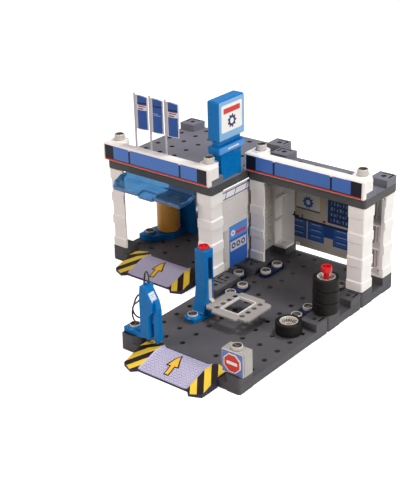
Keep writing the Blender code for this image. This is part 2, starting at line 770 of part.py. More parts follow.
MID_ROW = (FRONT_PLATE_CENTRE[1] + MID_PLATE_CENTRE[1] + (PLATE_CELLS - HALF_PLATE_CELLS) / 2) / 2
BACK_ROW = (MID_PLATE_CENTRE[1] + BACK_PLATE_CENTRE[1]) / 2
SIDE_COLUMN = WASH_PLATE_CENTRE[0] + PLATE_CELLS / 2
CONNECTOR_PLACES = [((0, MID_ROW), 0), ((4, MID_ROW), 0), ((0, BACK_ROW), 0), ((4, BACK_ROW), 0),
                    ((SIDE_COLUMN, 7), QUARTER)]
CONNECTOR = as_mesh("connector", connector(), smooth=True)
for number, (place, angle) in enumerate(CONNECTOR_PLACES, 1):
    node(f"connector_{number}", CONNECTOR, NAVY, cell(place, GAP), (0, 0, angle))


# Canopy


def canopy():
    """Tray in front of its hinge, which lies along X through the origin; it reaches to -Y."""
    inner_x = CORNER_REACH * PITCH - COLUMN_WIDTH / 2
    half = inner_x - CANOPY_SIDE_CLEARANCE
    front = -CANOPY_LENGTH
    shoulder = -CANOPY_REAR - CANOPY_SIDE_LENGTH
    front_half = half - CANOPY_FRONT_INSET

    def outline(inset):
        return [(half - inset, -CANOPY_REAR), (half - inset, shoulder + inset / 2), (front_half - inset, front + inset),
                (inset - front_half, front + inset), (inset - half, shoulder + inset / 2), (inset - half, -CANOPY_REAR)]

    rim_top = CANOPY_RIM_HEIGHT - CANOPY_SHEET
    solid = prism(outline(0), -CANOPY_SHEET, rim_top)
    hollow = outline(CANOPY_RIM_THICKNESS)
    hollow[0] = (hollow[0][0], CANOPY_REAR)
    hollow[-1] = (hollow[-1][0], CANOPY_REAR)
    solid = cut(solid, prism(hollow, 0, 2 * rim_top))
    tab = rounded_rectangle(TAB_WIDTH / 2, TAB_DEPTH / 2, TAB_DEPTH / 4)
    tab_y = front - TAB_PROUD + TAB_DEPTH / 2
    tab_solid = moved(prism(tab, -CANOPY_SHEET - GAP, rim_top / 2), (0, tab_y, 0))
    recess = rounded_rectangle(TAB_WIDTH / 2 - CANOPY_RIM_THICKNESS, TAB_DEPTH / 2 - CANOPY_RIM_THICKNESS,
                               TAB_DEPTH / 4 - CANOPY_RIM_THICKNESS / 2)
    solid = united(solid, tab_solid)
    solid = cut(solid, moved(prism(recess, 0, 2 * rim_top), (0, tab_y, 0)))
    for side in (-1, 1):
        low_x, high_x = sorted((side * (half - GAP), side * (half - CANOPY_ARM_WIDTH)))
        arm = box((low_x, -CANOPY_REAR - CANOPY_ARM_WIDTH, GAP - CANOPY_SHEET),
                  (high_x, CANOPY_PIN_DIAMETER / 2, CANOPY_PIN_DIAMETER / 2 + GAP))
        low_x, high_x = sorted((side * (half - CANOPY_ARM_WIDTH / 2), side * (inner_x + CANOPY_PIN_REACH)))
        solid = united(solid, arm, cylinder(CANOPY_PIN_DIAMETER, low_x, high_x, SCREW_SIDES, "X"))
    return solid


COLUMN_FACE_Y = (WASH_PLATE_CENTRE[1] - CORNER_REACH) * PITCH - COLUMN_WIDTH / 2
CANOPY_HINGE = Vector((WASH_PLATE_CENTRE[0] * PITCH, COLUMN_FACE_Y + CANOPY_HINGE_INSET, CANOPY_HINGE_Z))
node("canopy", canopy(), "2F6FA8", CANOPY_HINGE, (CANOPY_TILT, 0, 0), roughness=0.15, alpha=0.6)


# Wash roller and its stand


ROLLER_CENTRE = cell(ROLLER_CELL)
STAND_SCREW = cell(STAND_SCREW_CELL)
ROLLER_Z = STAND_BASE_THICKNESS + ROLLER_END_CLEARANCE
ARM_Z = ROLLER_Z + ROLLER_LENGTH + ROLLER_END_CLEARANCE


def wash_stand():
    """Foot under the screw, base under the roller, panel behind it and an arm over it."""
    panel_front = ROLLER_DIAMETER / 2 + STAND_PANEL_CLEARANCE
    panel_left = -ROLLER_DIAMETER / 2
    foot = STAND_SCREW - ROLLER_CENTRE
    reach = SCREW_HEAD_DIAMETER / 2 + STAND_FOOT_MARGIN
    outline = [(foot.x - reach, foot.y - reach), (foot.x + reach, foot.y - reach),
               (ROLLER_DIAMETER / 2, -ROLLER_DIAMETER / 4), (ROLLER_DIAMETER / 2, panel_front),
               (panel_left, panel_front), (foot.x - reach, foot.y + reach)]
    solid = prism(outline, GAP, STAND_BASE_THICKNESS)
    panel = box((panel_left, panel_front - GAP, GAP),
                (panel_left + STAND_PANEL_WIDTH, panel_front + STAND_PANEL_THICKNESS, STAND_PANEL_HEIGHT), STAND_EDGE)
    arm = box((-STAND_ARM_WIDTH / 2, -STAND_ARM_WIDTH / 2, ARM_Z),
              (STAND_ARM_WIDTH / 2, panel_front + STAND_PANEL_THICKNESS / 2, ARM_Z + STAND_ARM_THICKNESS))
    solid = united(solid, panel, arm)
    solid = united(solid, cylinder(AXLE_DIAMETER, STAND_BASE_THICKNESS / 2, ARM_Z + STAND_ARM_THICKNESS / 2, SCREW_SIDES))
    screw_hole = moved(cylinder(SCREW_BORE_DIAMETER, -STAND_BASE_THICKNESS, 2 * STAND_BASE_THICKNESS, SCREW_SIDES),
                       foot)
    return cut(solid, screw_hole)


def wash_roller():
    """Drum with a bore and rounded ends, bottom at z = 0."""
    outer = ROLLER_DIAMETER / 2
    bore = AXLE_BORE_DIAMETER / 2
    edge = ROLLER_EDGE
    return turned([(bore, 0), (outer - edge, 0), (outer, edge), (outer, ROLLER_LENGTH - edge),
                   (outer - edge, ROLLER_LENGTH), (bore, ROLLER_LENGTH)], TURNED_STEPS, ring=True)


node("wash_stand", wash_stand(), BLUE, ROLLER_CENTRE)
node("wash_roller", wash_roller(), "C98A2B", ROLLER_CENTRE + Vector((0, 0, ROLLER_Z)), roughness=0.6, smooth=True)


# Lift


LIFT_CENTRE = cell(LIFT_COLUMN_CELL)
LIFT_SCREW = cell(LIFT_SCREW_CELL)


def lift_column():
    """Hollow column about the lead screw with a slot on +X, on a foot that flares from its fixing screw."""
    half_x = LIFT_COLUMN_X / 2
    half_y = LIFT_COLUMN_Y / 2
    solid = box((-half_x, -half_y, GAP), (half_x, half_y, LIFT_HEIGHT), LIFT_EDGE)
    foot = LIFT_SCREW - LIFT_CENTRE
    front = foot.y - LIFT_FOOT_FRONT
    flare = LIFT_FOOT_FLARE / 2
    outline = [(foot.x - LIFT_FOOT_WIDTH / 2, front), (foot.x + LIFT_FOOT_WIDTH / 2, front),
               (flare, -half_y), (flare, half_y + GAP), (-flare, half_y + GAP), (-flare, -half_y)]
    saddle = foot.y + SCREW_HEAD_DIAMETER / 2 + LIFT_SADDLE_CLEARANCE
    wall = LIFT_EDGE - half_y
    low = LIFT_FOOT_THICKNESS / 2
    sweep = [(saddle, low), (saddle, LIFT_SADDLE_HEIGHT - LIFT_SADDLE_EDGE),
             (saddle + LIFT_SADDLE_EDGE, LIFT_SADDLE_HEIGHT), ((saddle - 3 * half_y) / 4, LIFT_FLARE_BEND),
             (wall, LIFT_FLARE_HEIGHT), (wall, low)]
    solid = united(solid, prism(outline, GAP, LIFT_FOOT_THICKNESS),
                   prism(sweep, GAP - half_x, half_x - GAP, "X"))
    cavity = box((-LIFT_CAVITY_X / 2, -LIFT_CAVITY_Y / 2, LIFT_FOOT_THICKNESS),
                 (LIFT_CAVITY_X / 2, LIFT_CAVITY_Y / 2, LIFT_HEIGHT - LIFT_CAP))
    slot = box((0, -LIFT_SLOT_WIDTH / 2, LIFT_SLOT_LOW), (LIFT_COLUMN_X, LIFT_SLOT_WIDTH / 2, LIFT_SLOT_HIGH))
    bore = cylinder(LIFT_SCREW_BORE, LIFT_FOOT_THICKNESS / 2, 2 * LIFT_HEIGHT, SCREW_SIDES)
    fixing = moved(cylinder(SCREW_BORE_DIAMETER, -LIFT_FOOT_THICKNESS, 2 * LIFT_FOOT_THICKNESS, SCREW_SIDES), foot)
    for tool in (cavity, slot, bore, fixing):
        solid = cut(solid, tool)
    return solid


def lift_screw():
    """Lead screw with its knob on top of the column."""
    stem = LIFT_SCREW_DIAMETER / 2
    knob = LIFT_KNOB_DIAMETER / 2
    seat = LIFT_HEIGHT + GAP
    edge = LIFT_KNOB_HEIGHT / 4
    low = LIFT_FOOT_THICKNESS / 2 + GAP
    return turned([(0, low), (stem, low), (stem, seat), (knob, seat), (knob, seat + LIFT_KNOB_HEIGHT - edge),
                   (knob - edge, seat + LIFT_KNOB_HEIGHT), (0, seat + LIFT_KNOB_HEIGHT)], SCREW_SIDES)


def lift_carriage():
    """Nut on the lead screw with a bracket that reaches out through the slot."""
    half_x = LIFT_CAVITY_X / 2 - CARRIAGE_CLEARANCE
    half_y = LIFT_CAVITY_Y / 2 - CARRIAGE_CLEARANCE
    half_tongue = LIFT_SLOT_WIDTH / 2 - CARRIAGE_CLEARANCE
    outside = LIFT_COLUMN_X / 2 + PLATFORM_CLEARANCE
    seat = PLATFORM_TOP + GAP
    solid = box((-half_x, -half_y, CARRIAGE_LOW), (half_x, half_y, CARRIAGE_HIGH))
    bracket = [(half_x - PLATFORM_CLEARANCE, seat), (outside + CARRIAGE_REACH, seat),
               (outside + CARRIAGE_REACH, seat + PLATFORM_RIM), (outside, CARRIAGE_HIGH - PLATFORM_RIM),
               (half_x - PLATFORM_CLEARANCE, CARRIAGE_HIGH - PLATFORM_RIM)]
    solid = united(solid, prism(bracket, -half_tongue, half_tongue, "Y"))
    return cut(solid, cylinder(LIFT_SCREW_BORE, 0, 2 * CARRIAGE_HIGH, SCREW_SIDES))


def lift_platform():
    """Platform with a leaf at each end and a rimmed window; x = 0 is its edge beside the column."""
    half_y = PLATFORM_LENGTH / 2
    leaf = PLATFORM_LEAF_WIDTH / 2
    middle = PLATFORM_WIDTH / 2
    ends = half_y + PLATFORM_LEAF_DEPTH
    outline = [(0, -half_y), (middle - leaf, -half_y), (middle - leaf, -ends), (middle + leaf, -ends),
               (middle + leaf, -half_y), (PLATFORM_WIDTH, -half_y), (PLATFORM_WIDTH, half_y),
               (middle + leaf, half_y), (middle + leaf, ends), (middle - leaf, ends), (middle - leaf, half_y),
               (0, half_y)]
    low = PLATFORM_TOP - PLATFORM_THICKNESS
    solid = prism(outline, low, PLATFORM_TOP)
    wall = 2 * PLATFORM_RIM
    solid = cut(solid, box((wall, wall - half_y, 0), (PLATFORM_WIDTH - wall, half_y - wall,
                                                      PLATFORM_TOP - PLATFORM_SHEET)))
    window_x = PLATFORM_WINDOW_X / 2
    window_y = PLATFORM_WINDOW_Y / 2
    rim = box((middle - window_x - PLATFORM_RIM, -window_y - PLATFORM_RIM, PLATFORM_TOP - PLATFORM_THICKNESS),
              (middle + window_x + PLATFORM_RIM, window_y + PLATFORM_RIM, PLATFORM_TOP + PLATFORM_RIM_HEIGHT))
    solid = united(solid, rim)
    solid = cut(solid, box((middle - window_x, -window_y, 0), (middle + window_x, window_y, 2 * PLATFORM_TOP)))
    holes = []
    for x in (middle - window_x - PLATFORM_HOLE_DIAMETER, middle + window_x + PLATFORM_HOLE_DIAMETER):
        for step in range(PLATFORM_HOLE_ROWS):
            y = window_y * (2 * step / (PLATFORM_HOLE_ROWS - 1) - 1)
            hole = cylinder(PLATFORM_HOLE_DIAMETER, 0, 2 * PLATFORM_TOP, HOLE_SIDES)
            holes.append(moved(hole, (x, y, 0)))
    return cut(solid, together(holes))


PLATFORM_CORNER = LIFT_CENTRE + Vector((LIFT_COLUMN_X / 2 + PLATFORM_CLEARANCE, 0, 0))
node("lift_column", lift_column(), BLUE, LIFT_CENTRE)
node("lift_screw", lift_screw(), RED, LIFT_CENTRE, smooth=True)
node("lift_carriage", lift_carriage(), "C9C6C2", LIFT_CENTRE)
node("lift_platform", lift_platform(), "B5AFAD", PLATFORM_CORNER + Vector((0, PLATFORM_SHIFT_Y, 0)))


# Ramps


def ramp():
    """Ramp from the ground to the floor; y = 0 is the plate's front edge, z = 0 its floor."""
    half = RAMP_WIDTH / 2
    toe = -RAMP_REACH
    ground = -PLATE_DEPTH
    top = RAMP_THICKNESS + GAP
    profile = [(RAMP_LANDING, GAP), (RAMP_LANDING, top), (RAMP_BROW, top), (toe, ground + RAMP_TOE), (toe, ground),
               (toe + 2 * RAMP_TOE, ground), (-GAP, GAP)]
    notch = RAMP_NOTCH
    wing = half - RAMP_WING
    back = RAMP_LANDING
    plan = [(-half, toe + notch), (-wing - notch, toe), (-wing, toe + notch), (wing, toe + notch),
            (wing + notch, toe), (half, toe + notch), (half, back - notch), (wing + notch, back),
            (wing - notch, back - notch), (notch - wing, back - notch), (-wing - notch, back), (-half, back - notch)]
    solid = prism(profile, -half - notch, half + notch, "X")
    solid = combine(solid, prism(plan, 2 * ground, -ground), "INTERSECT")
    skirt = [(-GAP * 2, -GAP), (toe + 3 * RAMP_TOE, ground + RAMP_TOE), (toe + 3 * RAMP_TOE, ground), (-GAP * 2, ground)]
    for side in (-1, 1):
        low_x, high_x = sorted((side * (half - GAP), side * (half - RAMP_SIDE_SKIRT)))
        solid = united(solid, prism(skirt, low_x, high_x, "X"))
    return solid


RAMP = as_mesh("ramp", ramp())
for name, centre, column_number in (("ramp_front", FRONT_PLATE_CENTRE, RAMP_COLUMN),
                                    ("ramp_wash", WASH_PLATE_CENTRE, WASH_PLATE_CENTRE[0])):
    edge = (centre[1] - PLATE_CELLS / 2) * PITCH
    node(name, RAMP, "B4AECB", (column_number * PITCH, edge, 0))


# Fuel pump


PUMP_BLOCK = cell(PUMP_CELL)
PUMP_BACK_X = PITCH * 0.4


def pump_body():
    """Foot on its corner block, with the leaning body beside it; the origin is over the block's hole."""
    left = PUMP_BACK_X
    right = left + PUMP_BACK_WIDTH
    head = left + PUMP_HEAD_WIDTH
    crown = PUMP_HEIGHT - PUMP_CROWN_HEIGHT
    profile = [(left, PUMP_FLOOR), (right, PUMP_FLOOR), (right, PUMP_HEAD_LOW - PUMP_UNDERCUT),
               (head, PUMP_HEAD_LOW), (head, PUMP_HEAD_HIGH), (right - PUMP_CROWN_RIGHT, crown),
               (right - PUMP_CROWN_RIGHT, PUMP_HEIGHT), (left + PUMP_CROWN_LEFT + PUMP_CROWN_TAPER, PUMP_HEIGHT),
               (left + PUMP_CROWN_LEFT, crown), (left, PUMP_HEAD_HIGH)]
    solid = prism(profile, -PUMP_DEPTH / 2, PUMP_DEPTH / 2, "Y")
    foot_low = BLOCK_HEIGHT + GAP
    foot = box((-PUMP_FOOT_LENGTH / 2, -PUMP_DEPTH / 2 - GAP, foot_low),
               (left + PUMP_FOOT_LAP, PUMP_DEPTH / 2 + GAP, foot_low + PUMP_FOOT_THICKNESS), PUMP_FOOT_EDGE)
    solid = united(solid, foot)
    for x in SOCKET_X:
        socket = cylinder(SOCKET_DIAMETER, PUMP_HEIGHT - GAP, PUMP_HEIGHT + SOCKET_HEIGHT, SCREW_SIDES)
        solid = united(solid, moved(socket, (x, 0, 0)))
    nozzle = box((head - NOZZLE_SEAT, -NOZZLE_DEPTH / 2, NOZZLE_LOW),
                 (head - NOZZLE_SEAT + NOZZLE_WIDTH, NOZZLE_DEPTH / 2, NOZZLE_HIGH), NOZZLE_EDGE)
    bore = cylinder(SCREW_BORE_DIAMETER, 0, foot_low + 2 * PUMP_FOOT_THICKNESS, SCREW_SIDES)
    return cut(united(solid, nozzle), bore)


SOCKET_X = (PUMP_BACK_X + 0.0118, PUMP_BACK_X + 0.0188)
node("pump_body", pump_body(), BLUE, PUMP_BLOCK)

HOSE_ROUTE = [
    (SOCKET_X[1], 0.0, PUMP_HEIGHT + SOCKET_HEIGHT + GAP), (SOCKET_X[1], 0.0, 0.1096), (0.0296, 0.0042, 0.1152),
    (0.0220, 0.0105, 0.1178), (0.0155, 0.0155, 0.1130), (0.0140, 0.0175, 0.1030), (0.0140, 0.0170, 0.0880),
    (0.0120, 0.0155, 0.0740), (0.0055, 0.0150, 0.0635), (-0.0010, 0.0160, 0.0565), (-0.0080, 0.0166, 0.0505),
    (-0.0115, 0.0166, 0.0440), (-0.0095, 0.0166, 0.0360), (-0.0025, 0.0175, 0.0305), (0.0070, 0.0195, 0.0305),
    (0.0150, 0.0215, 0.0370), (0.0180, 0.0225, 0.0480), (0.0160, 0.0228, 0.0600), (0.0090, 0.0225, 0.0695),
    (0.0005, 0.0215, 0.0700), (-0.0060, 0.0210, 0.0620), (-0.0105, 0.0210, 0.0510), (-0.0150, 0.0205, 0.0400),
    (-0.0168, 0.0200, 0.0305), (-0.0140, 0.0200, 0.0205), (-0.0040, 0.0205, 0.0145), (0.0080, 0.0225, 0.0140),
    (0.0175, 0.0240, 0.0190), (0.0215, 0.0205, 0.0255), (0.0216, 0.0145, 0.0277),
    (0.0216, PUMP_DEPTH / 2 + GAP, 0.0278)]


def smooth_route(points, step):
    """Points about a step apart on a smooth curve through the route's points, straight at both ends."""
    route = [Vector(point) for point in points]
    ends = [2 * route[0] - route[1]] + route + [2 * route[-1] - route[-2]]
    dense = []
    for before, start, end, after in zip(ends, ends[1:], ends[2:], ends[3:]):
        for k in range(ROUTE_SAMPLES):
            t = k / ROUTE_SAMPLES
            dense.append(0.5 * (2 * start + (end - before) * t + (2 * before - 5 * start + 4 * end - after) * t ** 2
                                + (3 * start - before - 3 * end + after) * t ** 3))
    dense.append(route[-1])
    lengths = [0.0]
    for low, high in zip(dense, dense[1:]):
        lengths.append(lengths[-1] + (high - low).length)
    count = max(2, round(lengths[-1] / step))
    spaced = []
    place = 0
    for k in range(count + 1):
        target = lengths[-1] * k / count
        while place < len(lengths) - 2 and lengths[place + 1] < target:
            place += 1
        share = (target - lengths[place]) / (lengths[place + 1] - lengths[place])
        spaced.append(dense[place].lerp(dense[place + 1], share))
    return spaced[:1] + [route[1]] + spaced[1:-1] + [route[-2]] + spaced[-1:]


def tube(name, points, diameter):
    """Round tube along points, with closed ends."""
    curve = bpy.data.curves.new(name, "CURVE")
    curve.dimensions = "3D"
    curve.bevel_depth = diameter / 2
    curve.bevel_resolution = HOSE_RESOLUTION
    curve.use_fill_caps = True
    spline = curve.splines.new("POLY")
    spline.points.add(len(points) - 1)
    for point, place in zip(spline.points, points):
        point.co = (*place, 1.0)
    curve.materials.append(None)
    return curve


node("pump_hose", tube("pump_hose", smooth_route(HOSE_ROUTE, HOSE_STEP), HOSE_DIAMETER), "16161A", PUMP_BLOCK)


# Stop sign


def octagon(width):
    """Outline of an octagon that stands on a flat side."""
    radius = width / 2 / math.cos(math.pi / 8)
    return [(radius * math.cos(math.pi / 8 + k * math.pi / 4), radius * math.sin(math.pi / 8 + k * math.pi / 4))
            for k in range(8)]


SIGN_LOW = BLOCK_HEIGHT + GAP
SIGN_FRONT = -SIGN_BOX_DEPTH / 2


def stop_sign_box():
    """Box over its corner block, its front slightly bulged."""
    half = SIGN_BOX_WIDTH / 2
    outline = [(half, SIGN_BOX_DEPTH / 2), (-half, SIGN_BOX_DEPTH / 2)]
    for step in range(SIGN_BOX_STEPS + 1):
        x = half * (2 * step / SIGN_BOX_STEPS - 1)
        outline.append((x, SIGN_FRONT + SIGN_BOX_BULGE * (x / half) ** 2))
    solid = prism(outline, SIGN_LOW, SIGN_LOW + SIGN_BOX_HEIGHT)
    bore = cylinder(SCREW_BORE_DIAMETER, 0, 2 * (SIGN_LOW + SIGN_BOX_HEIGHT), SCREW_SIDES)
    return cut(solid, bore)


node("stop_sign_box", stop_sign_box(), BLUE, cell(STOP_SIGN_CELL))
sign_plate = prism(octagon(SIGN_PLATE_WIDTH), SIGN_FRONT - GAP - SIGN_PLATE_THICKNESS, SIGN_FRONT - GAP, "Y")
node("stop_sign_plate", moved(sign_plate, (0, 0, SIGN_LOW + SIGN_BOX_HEIGHT / 2)), RED, cell(STOP_SIGN_CELL))

FIXINGS = {
    "stand_screw": cell(STAND_SCREW_CELL, STAND_BASE_THICKNESS + GAP),
    "lift_foot_screw": cell(LIFT_SCREW_CELL, LIFT_FOOT_THICKNESS + GAP),
    "pump_screw": cell(PUMP_CELL, BLOCK_HEIGHT + GAP + PUMP_FOOT_THICKNESS + GAP),
    "stop_sign_screw": cell(STOP_SIGN_CELL, SIGN_LOW + SIGN_BOX_HEIGHT + GAP),
}
for name, point in FIXINGS.items():
    node(name, SHORT_SCREW, SILVER, point, roughness=0.3)


# Wheels


def tyre():
    """Tyre lying flat, bottom at z = 0."""
    outer = WHEEL_DIAMETER / 2
    inner = RIM_DIAMETER / 2 + GAP
    shoulder = TYRE_SHOULDER
    return turned([(inner, 0), (outer - shoulder, 0), (outer, shoulder), (outer, WHEEL_WIDTH - shoulder),
                   (outer - shoulder, WHEEL_WIDTH), (inner, WHEEL_WIDTH)], TURNED_STEPS, ring=True)


def wheel_rim():
    """Dished rim with spokes, bottom at z = 0."""
    outer = RIM_DIAMETER / 2
    bore = RIM_BORE / 2
    hub = HUB_DIAMETER / 2
    lip = outer - RIM_LIP
    dish = WHEEL_WIDTH - RIM_DISH
    solid = turned([(bore, 0), (bore, WHEEL_WIDTH - RIM_LIP), (hub, WHEEL_WIDTH - RIM_LIP), (hub, dish), (lip, dish),
                    (lip, WHEEL_WIDTH), (outer, WHEEL_WIDTH), (outer, 0)], TURNED_STEPS, ring=True)
    for spoke in range(SPOKE_COUNT):
        fin = box((hub - GAP * 2, -SPOKE_THICKNESS / 2, dish - GAP), (lip + GAP, SPOKE_THICKNESS / 2,
                                                                     WHEEL_WIDTH - RIM_LIP - GAP))
        solid = united(solid, turned_about_z(fin, 2 * math.pi * spoke / SPOKE_COUNT))
    return solid


TYRE = as_mesh("tyre", tyre(), smooth=True)
RIM = as_mesh("rim", wheel_rim(), smooth=True)
WHEEL_STACK_Z = BLOCK_HEIGHT + GAP
STACK_COUNT = 3
for level in range(STACK_COUNT):
    place = cell(WHEEL_STACK_CELL, WHEEL_STACK_Z + level * (WHEEL_WIDTH + GAP))
    node(f"tyre_{level + 1}", TYRE, "1C1A17", place, roughness=0.8)
    node(f"rim_{level + 1}", RIM, "D8D2CC", place)
node("tyre_loose", TYRE, "1C1A17", cell(LOOSE_WHEEL_CELL, GAP), roughness=0.8)
node("rim_loose", RIM, "D8D2CC", cell(LOOSE_WHEEL_CELL, GAP))

STACK_TOP = WHEEL_STACK_Z + STACK_COUNT * (WHEEL_WIDTH + GAP)
POST_SEAT = STACK_TOP + POST_NECK
post_radius = POST_DIAMETER / 2
post_head = POST_HEAD_DIAMETER / 2
post_edge = POST_HEAD_HEIGHT / 4
peg = HOLE_DIAMETER / 2 - POST_PEG_CLEARANCE
wheel_post = turned([(0, BLOCK_HEIGHT / 4), (peg, BLOCK_HEIGHT / 4), (peg, WHEEL_STACK_Z), (post_radius, WHEEL_STACK_Z),
                     (post_radius, POST_SEAT), (post_head, POST_SEAT),
                     (post_head, POST_SEAT + POST_HEAD_HEIGHT - post_edge),
                     (post_head - post_edge, POST_SEAT + POST_HEAD_HEIGHT), (0, POST_SEAT + POST_HEAD_HEIGHT)], POST_SIDES)
node("wheel_post", wheel_post, RED, cell(WHEEL_STACK_CELL), smooth=True)


# Sign tower


ROOF_RIGHT = WASH_PLATE_CENTRE[0] * PITCH + PLATE_EDGE
TOWER_MIDDLE_X = ROOF_RIGHT - TOWER_BASE_SETBACK - TOWER_DEPTH / 2
TOWER_MIDDLE_Y = TOWER_FRONT_ROW * PITCH + TOWER_BASE_WIDTH / 2
COLLAR_Z = TOWER_BASE_HEIGHT
NECK_Z = COLLAR_Z + COLLAR_HEIGHT
BOX_Z = NECK_Z + TOWER_NECK_HEIGHT


def tower_slab(half_x, half_y, low, high, edge):
    return box((-half_x, -half_y, low), (half_x, half_y, high), edge)


sign_base = united(tower_slab(TOWER_DEPTH / 2, TOWER_BASE_WIDTH / 2, GAP, COLLAR_Z + TOWER_EDGE, 0),
                   tower_slab(TOWER_DEPTH / 2 - TOWER_NECK_INSET, COLLAR_WIDTH / 2 - 2 * TOWER_NECK_INSET,
                              COLLAR_Z + TOWER_EDGE, BOX_Z - GAP, 0),
                   tower_slab(COLLAR_DEPTH / 2, COLLAR_WIDTH / 2, COLLAR_Z, NECK_Z, TOWER_EDGE / 2))
TOWER_PLACE = Vector((TOWER_MIDDLE_X, TOWER_MIDDLE_Y, ROOF_Z))
node("sign_base", sign_base, BLUE, TOWER_PLACE)
node("sign_box", tower_slab(COLLAR_DEPTH / 2, COLLAR_WIDTH / 2, BOX_Z, BOX_Z + TOWER_BOX_HEIGHT, TOWER_EDGE), BLUE,
     TOWER_PLACE)


# Flags


def flag():
    """Post on a foot with a bowed panel, top edge arched; the origin is on the post's axis at the roof."""
    left = FLAG_POST_DIAMETER / 4
    top = FLAG_POST_HEIGHT - FLAG_TOP_GAP
    front, back = [], []
    for step in range(FLAG_STEPS + 1):
        share = step / FLAG_STEPS
        bow = FLAG_BOW * math.sin(math.pi * share)
        front.append((left + FLAG_WIDTH * share, -FLAG_THICKNESS / 2 - bow))
        back.append((left + FLAG_WIDTH * share, FLAG_THICKNESS / 2 - bow))
    outline = front + back[::-1]
    solid = prism(outline, top - FLAG_HEIGHT, top + FLAG_BOW)
    arch = [(left - GAP, top + 2 * FLAG_BOW)]
    for step in range(FLAG_STEPS + 1):
        share = step / FLAG_STEPS
        arch.append((left - GAP + (FLAG_WIDTH + 2 * GAP) * share, top + FLAG_BOW * math.sin(math.pi * share) - GAP))
    arch.append((left + FLAG_WIDTH + GAP, top + 2 * FLAG_BOW))
    panel = cut(solid, prism(arch, -FLAG_WIDTH, FLAG_WIDTH, "Y"))
    post = FLAG_POST_DIAMETER / 2
    foot = FLAG_FOOT_DIAMETER / 2
    pole = turned([(0, GAP), (foot, GAP), (foot, FLAG_FOOT_HEIGHT), (post, FLAG_FOOT_HEIGHT), (post, FLAG_POST_HEIGHT),
                   (0, FLAG_POST_HEIGHT)], SCREW_SIDES)
    return united(pole, panel)


FLAG = as_mesh("flag", flag())
FLAG_PLACE = cell(FLAG_CELL, ROOF_Z)
for step in range(FLAG_COUNT):
    node(f"flag_{step + 1}", FLAG, BLUE, FLAG_PLACE + Vector((step * FLAG_SPACING, 0, 0)))


# Whole object: its middle goes over the origin and its feet on the ground


left_side = (WASH_PLATE_CENTRE[0] - PLATE_CELLS / 2) * PITCH - FASCIA_OVERHANG
right_side = max((BACK_PLATE_CENTRE[0] + PLATE_CELLS / 2) * PITCH + FASCIA_OVERHANG,
                 STOP_SIGN_CELL[0] * PITCH + SIGN_BOX_WIDTH / 2)
front_side = (FRONT_PLATE_CENTRE[1] - PLATE_CELLS / 2) * PITCH - RAMP_REACH
back_side = (WASH_PLATE_CENTRE[1] + PLATE_CELLS / 2) * PITCH - GAP / 2
GARAGE.location = (-(left_side + right_side) / 2, -(front_side + back_side) / 2, PLATE_DEPTH)
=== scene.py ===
"""Looks of the toy garage: its finishes, prints, screws, wheels and hose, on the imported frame.

Metres, in the frame's own coordinates. Places are counted in screw-hole cells: cell (0, 0) is the
second hole of the front row on the lower floor, whose surface is at height 0 there.
"""
import json
import math

import bmesh
import bpy
from mathutils import Matrix, Vector

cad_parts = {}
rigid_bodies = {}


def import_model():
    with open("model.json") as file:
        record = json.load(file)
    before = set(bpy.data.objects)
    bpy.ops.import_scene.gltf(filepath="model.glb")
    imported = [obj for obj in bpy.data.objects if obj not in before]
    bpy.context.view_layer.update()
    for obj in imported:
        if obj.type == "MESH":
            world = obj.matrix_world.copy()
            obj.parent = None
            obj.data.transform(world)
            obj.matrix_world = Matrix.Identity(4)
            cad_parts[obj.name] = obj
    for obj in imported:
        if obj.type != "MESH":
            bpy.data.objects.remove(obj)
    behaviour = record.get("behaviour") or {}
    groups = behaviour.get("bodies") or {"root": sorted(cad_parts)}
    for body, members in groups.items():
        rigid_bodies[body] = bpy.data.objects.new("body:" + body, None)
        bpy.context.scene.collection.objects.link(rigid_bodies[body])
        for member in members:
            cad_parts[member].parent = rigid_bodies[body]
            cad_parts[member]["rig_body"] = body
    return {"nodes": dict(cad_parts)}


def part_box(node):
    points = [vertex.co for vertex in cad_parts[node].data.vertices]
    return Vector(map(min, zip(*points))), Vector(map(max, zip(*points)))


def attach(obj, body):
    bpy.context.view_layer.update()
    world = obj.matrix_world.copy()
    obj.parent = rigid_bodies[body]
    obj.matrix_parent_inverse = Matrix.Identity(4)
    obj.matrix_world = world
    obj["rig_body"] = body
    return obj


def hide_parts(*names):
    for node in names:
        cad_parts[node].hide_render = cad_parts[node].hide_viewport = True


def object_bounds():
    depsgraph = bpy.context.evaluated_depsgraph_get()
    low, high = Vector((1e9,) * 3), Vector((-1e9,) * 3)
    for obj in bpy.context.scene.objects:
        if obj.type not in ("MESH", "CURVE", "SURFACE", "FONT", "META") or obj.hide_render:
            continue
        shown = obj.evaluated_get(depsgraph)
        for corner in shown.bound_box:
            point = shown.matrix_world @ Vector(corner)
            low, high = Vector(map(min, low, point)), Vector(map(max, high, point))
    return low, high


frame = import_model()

CAD_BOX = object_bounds()

# Sizes that the pieces share, as on the solids
PITCH = 0.0332
GAP = 0.0003
MM = 0.001
PLATE_CELLS = 7
HALF_PLATE_CELLS = 3
PLATE_DEPTH = 0.0150
BLOCK_HEIGHT = 0.0126
BLOCK_WIDTH = 0.0326
STOREY_HEIGHT = 0.1773
ROUND_STEPS = 40
MERGE_DISTANCE = 0.000005
FRONT_PLATE_CENTRE = (2, 2)
MID_PLATE_CENTRE = (2, 7)
BACK_PLATE_CENTRE = (2, 10)
WASH_PLATE_CENTRE = (-5, 9)

front_low, front_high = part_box("base_plate_front")
GRID_ORIGIN = Vector(((front_low.x + front_high.x) / 2 - FRONT_PLATE_CENTRE[0] * PITCH,
                      (front_low.y + front_high.y) / 2 - FRONT_PLATE_CENTRE[1] * PITCH,
                      front_high.z - BLOCK_HEIGHT))


def cell(column, row, height=0.0):
    """Point over a screw-hole cell."""
    return GRID_ORIGIN + Vector((column * PITCH, row * PITCH, height))


def body_of(node):
    """Name of the body that a CAD node rides on."""
    return frame["nodes"][node]["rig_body"]


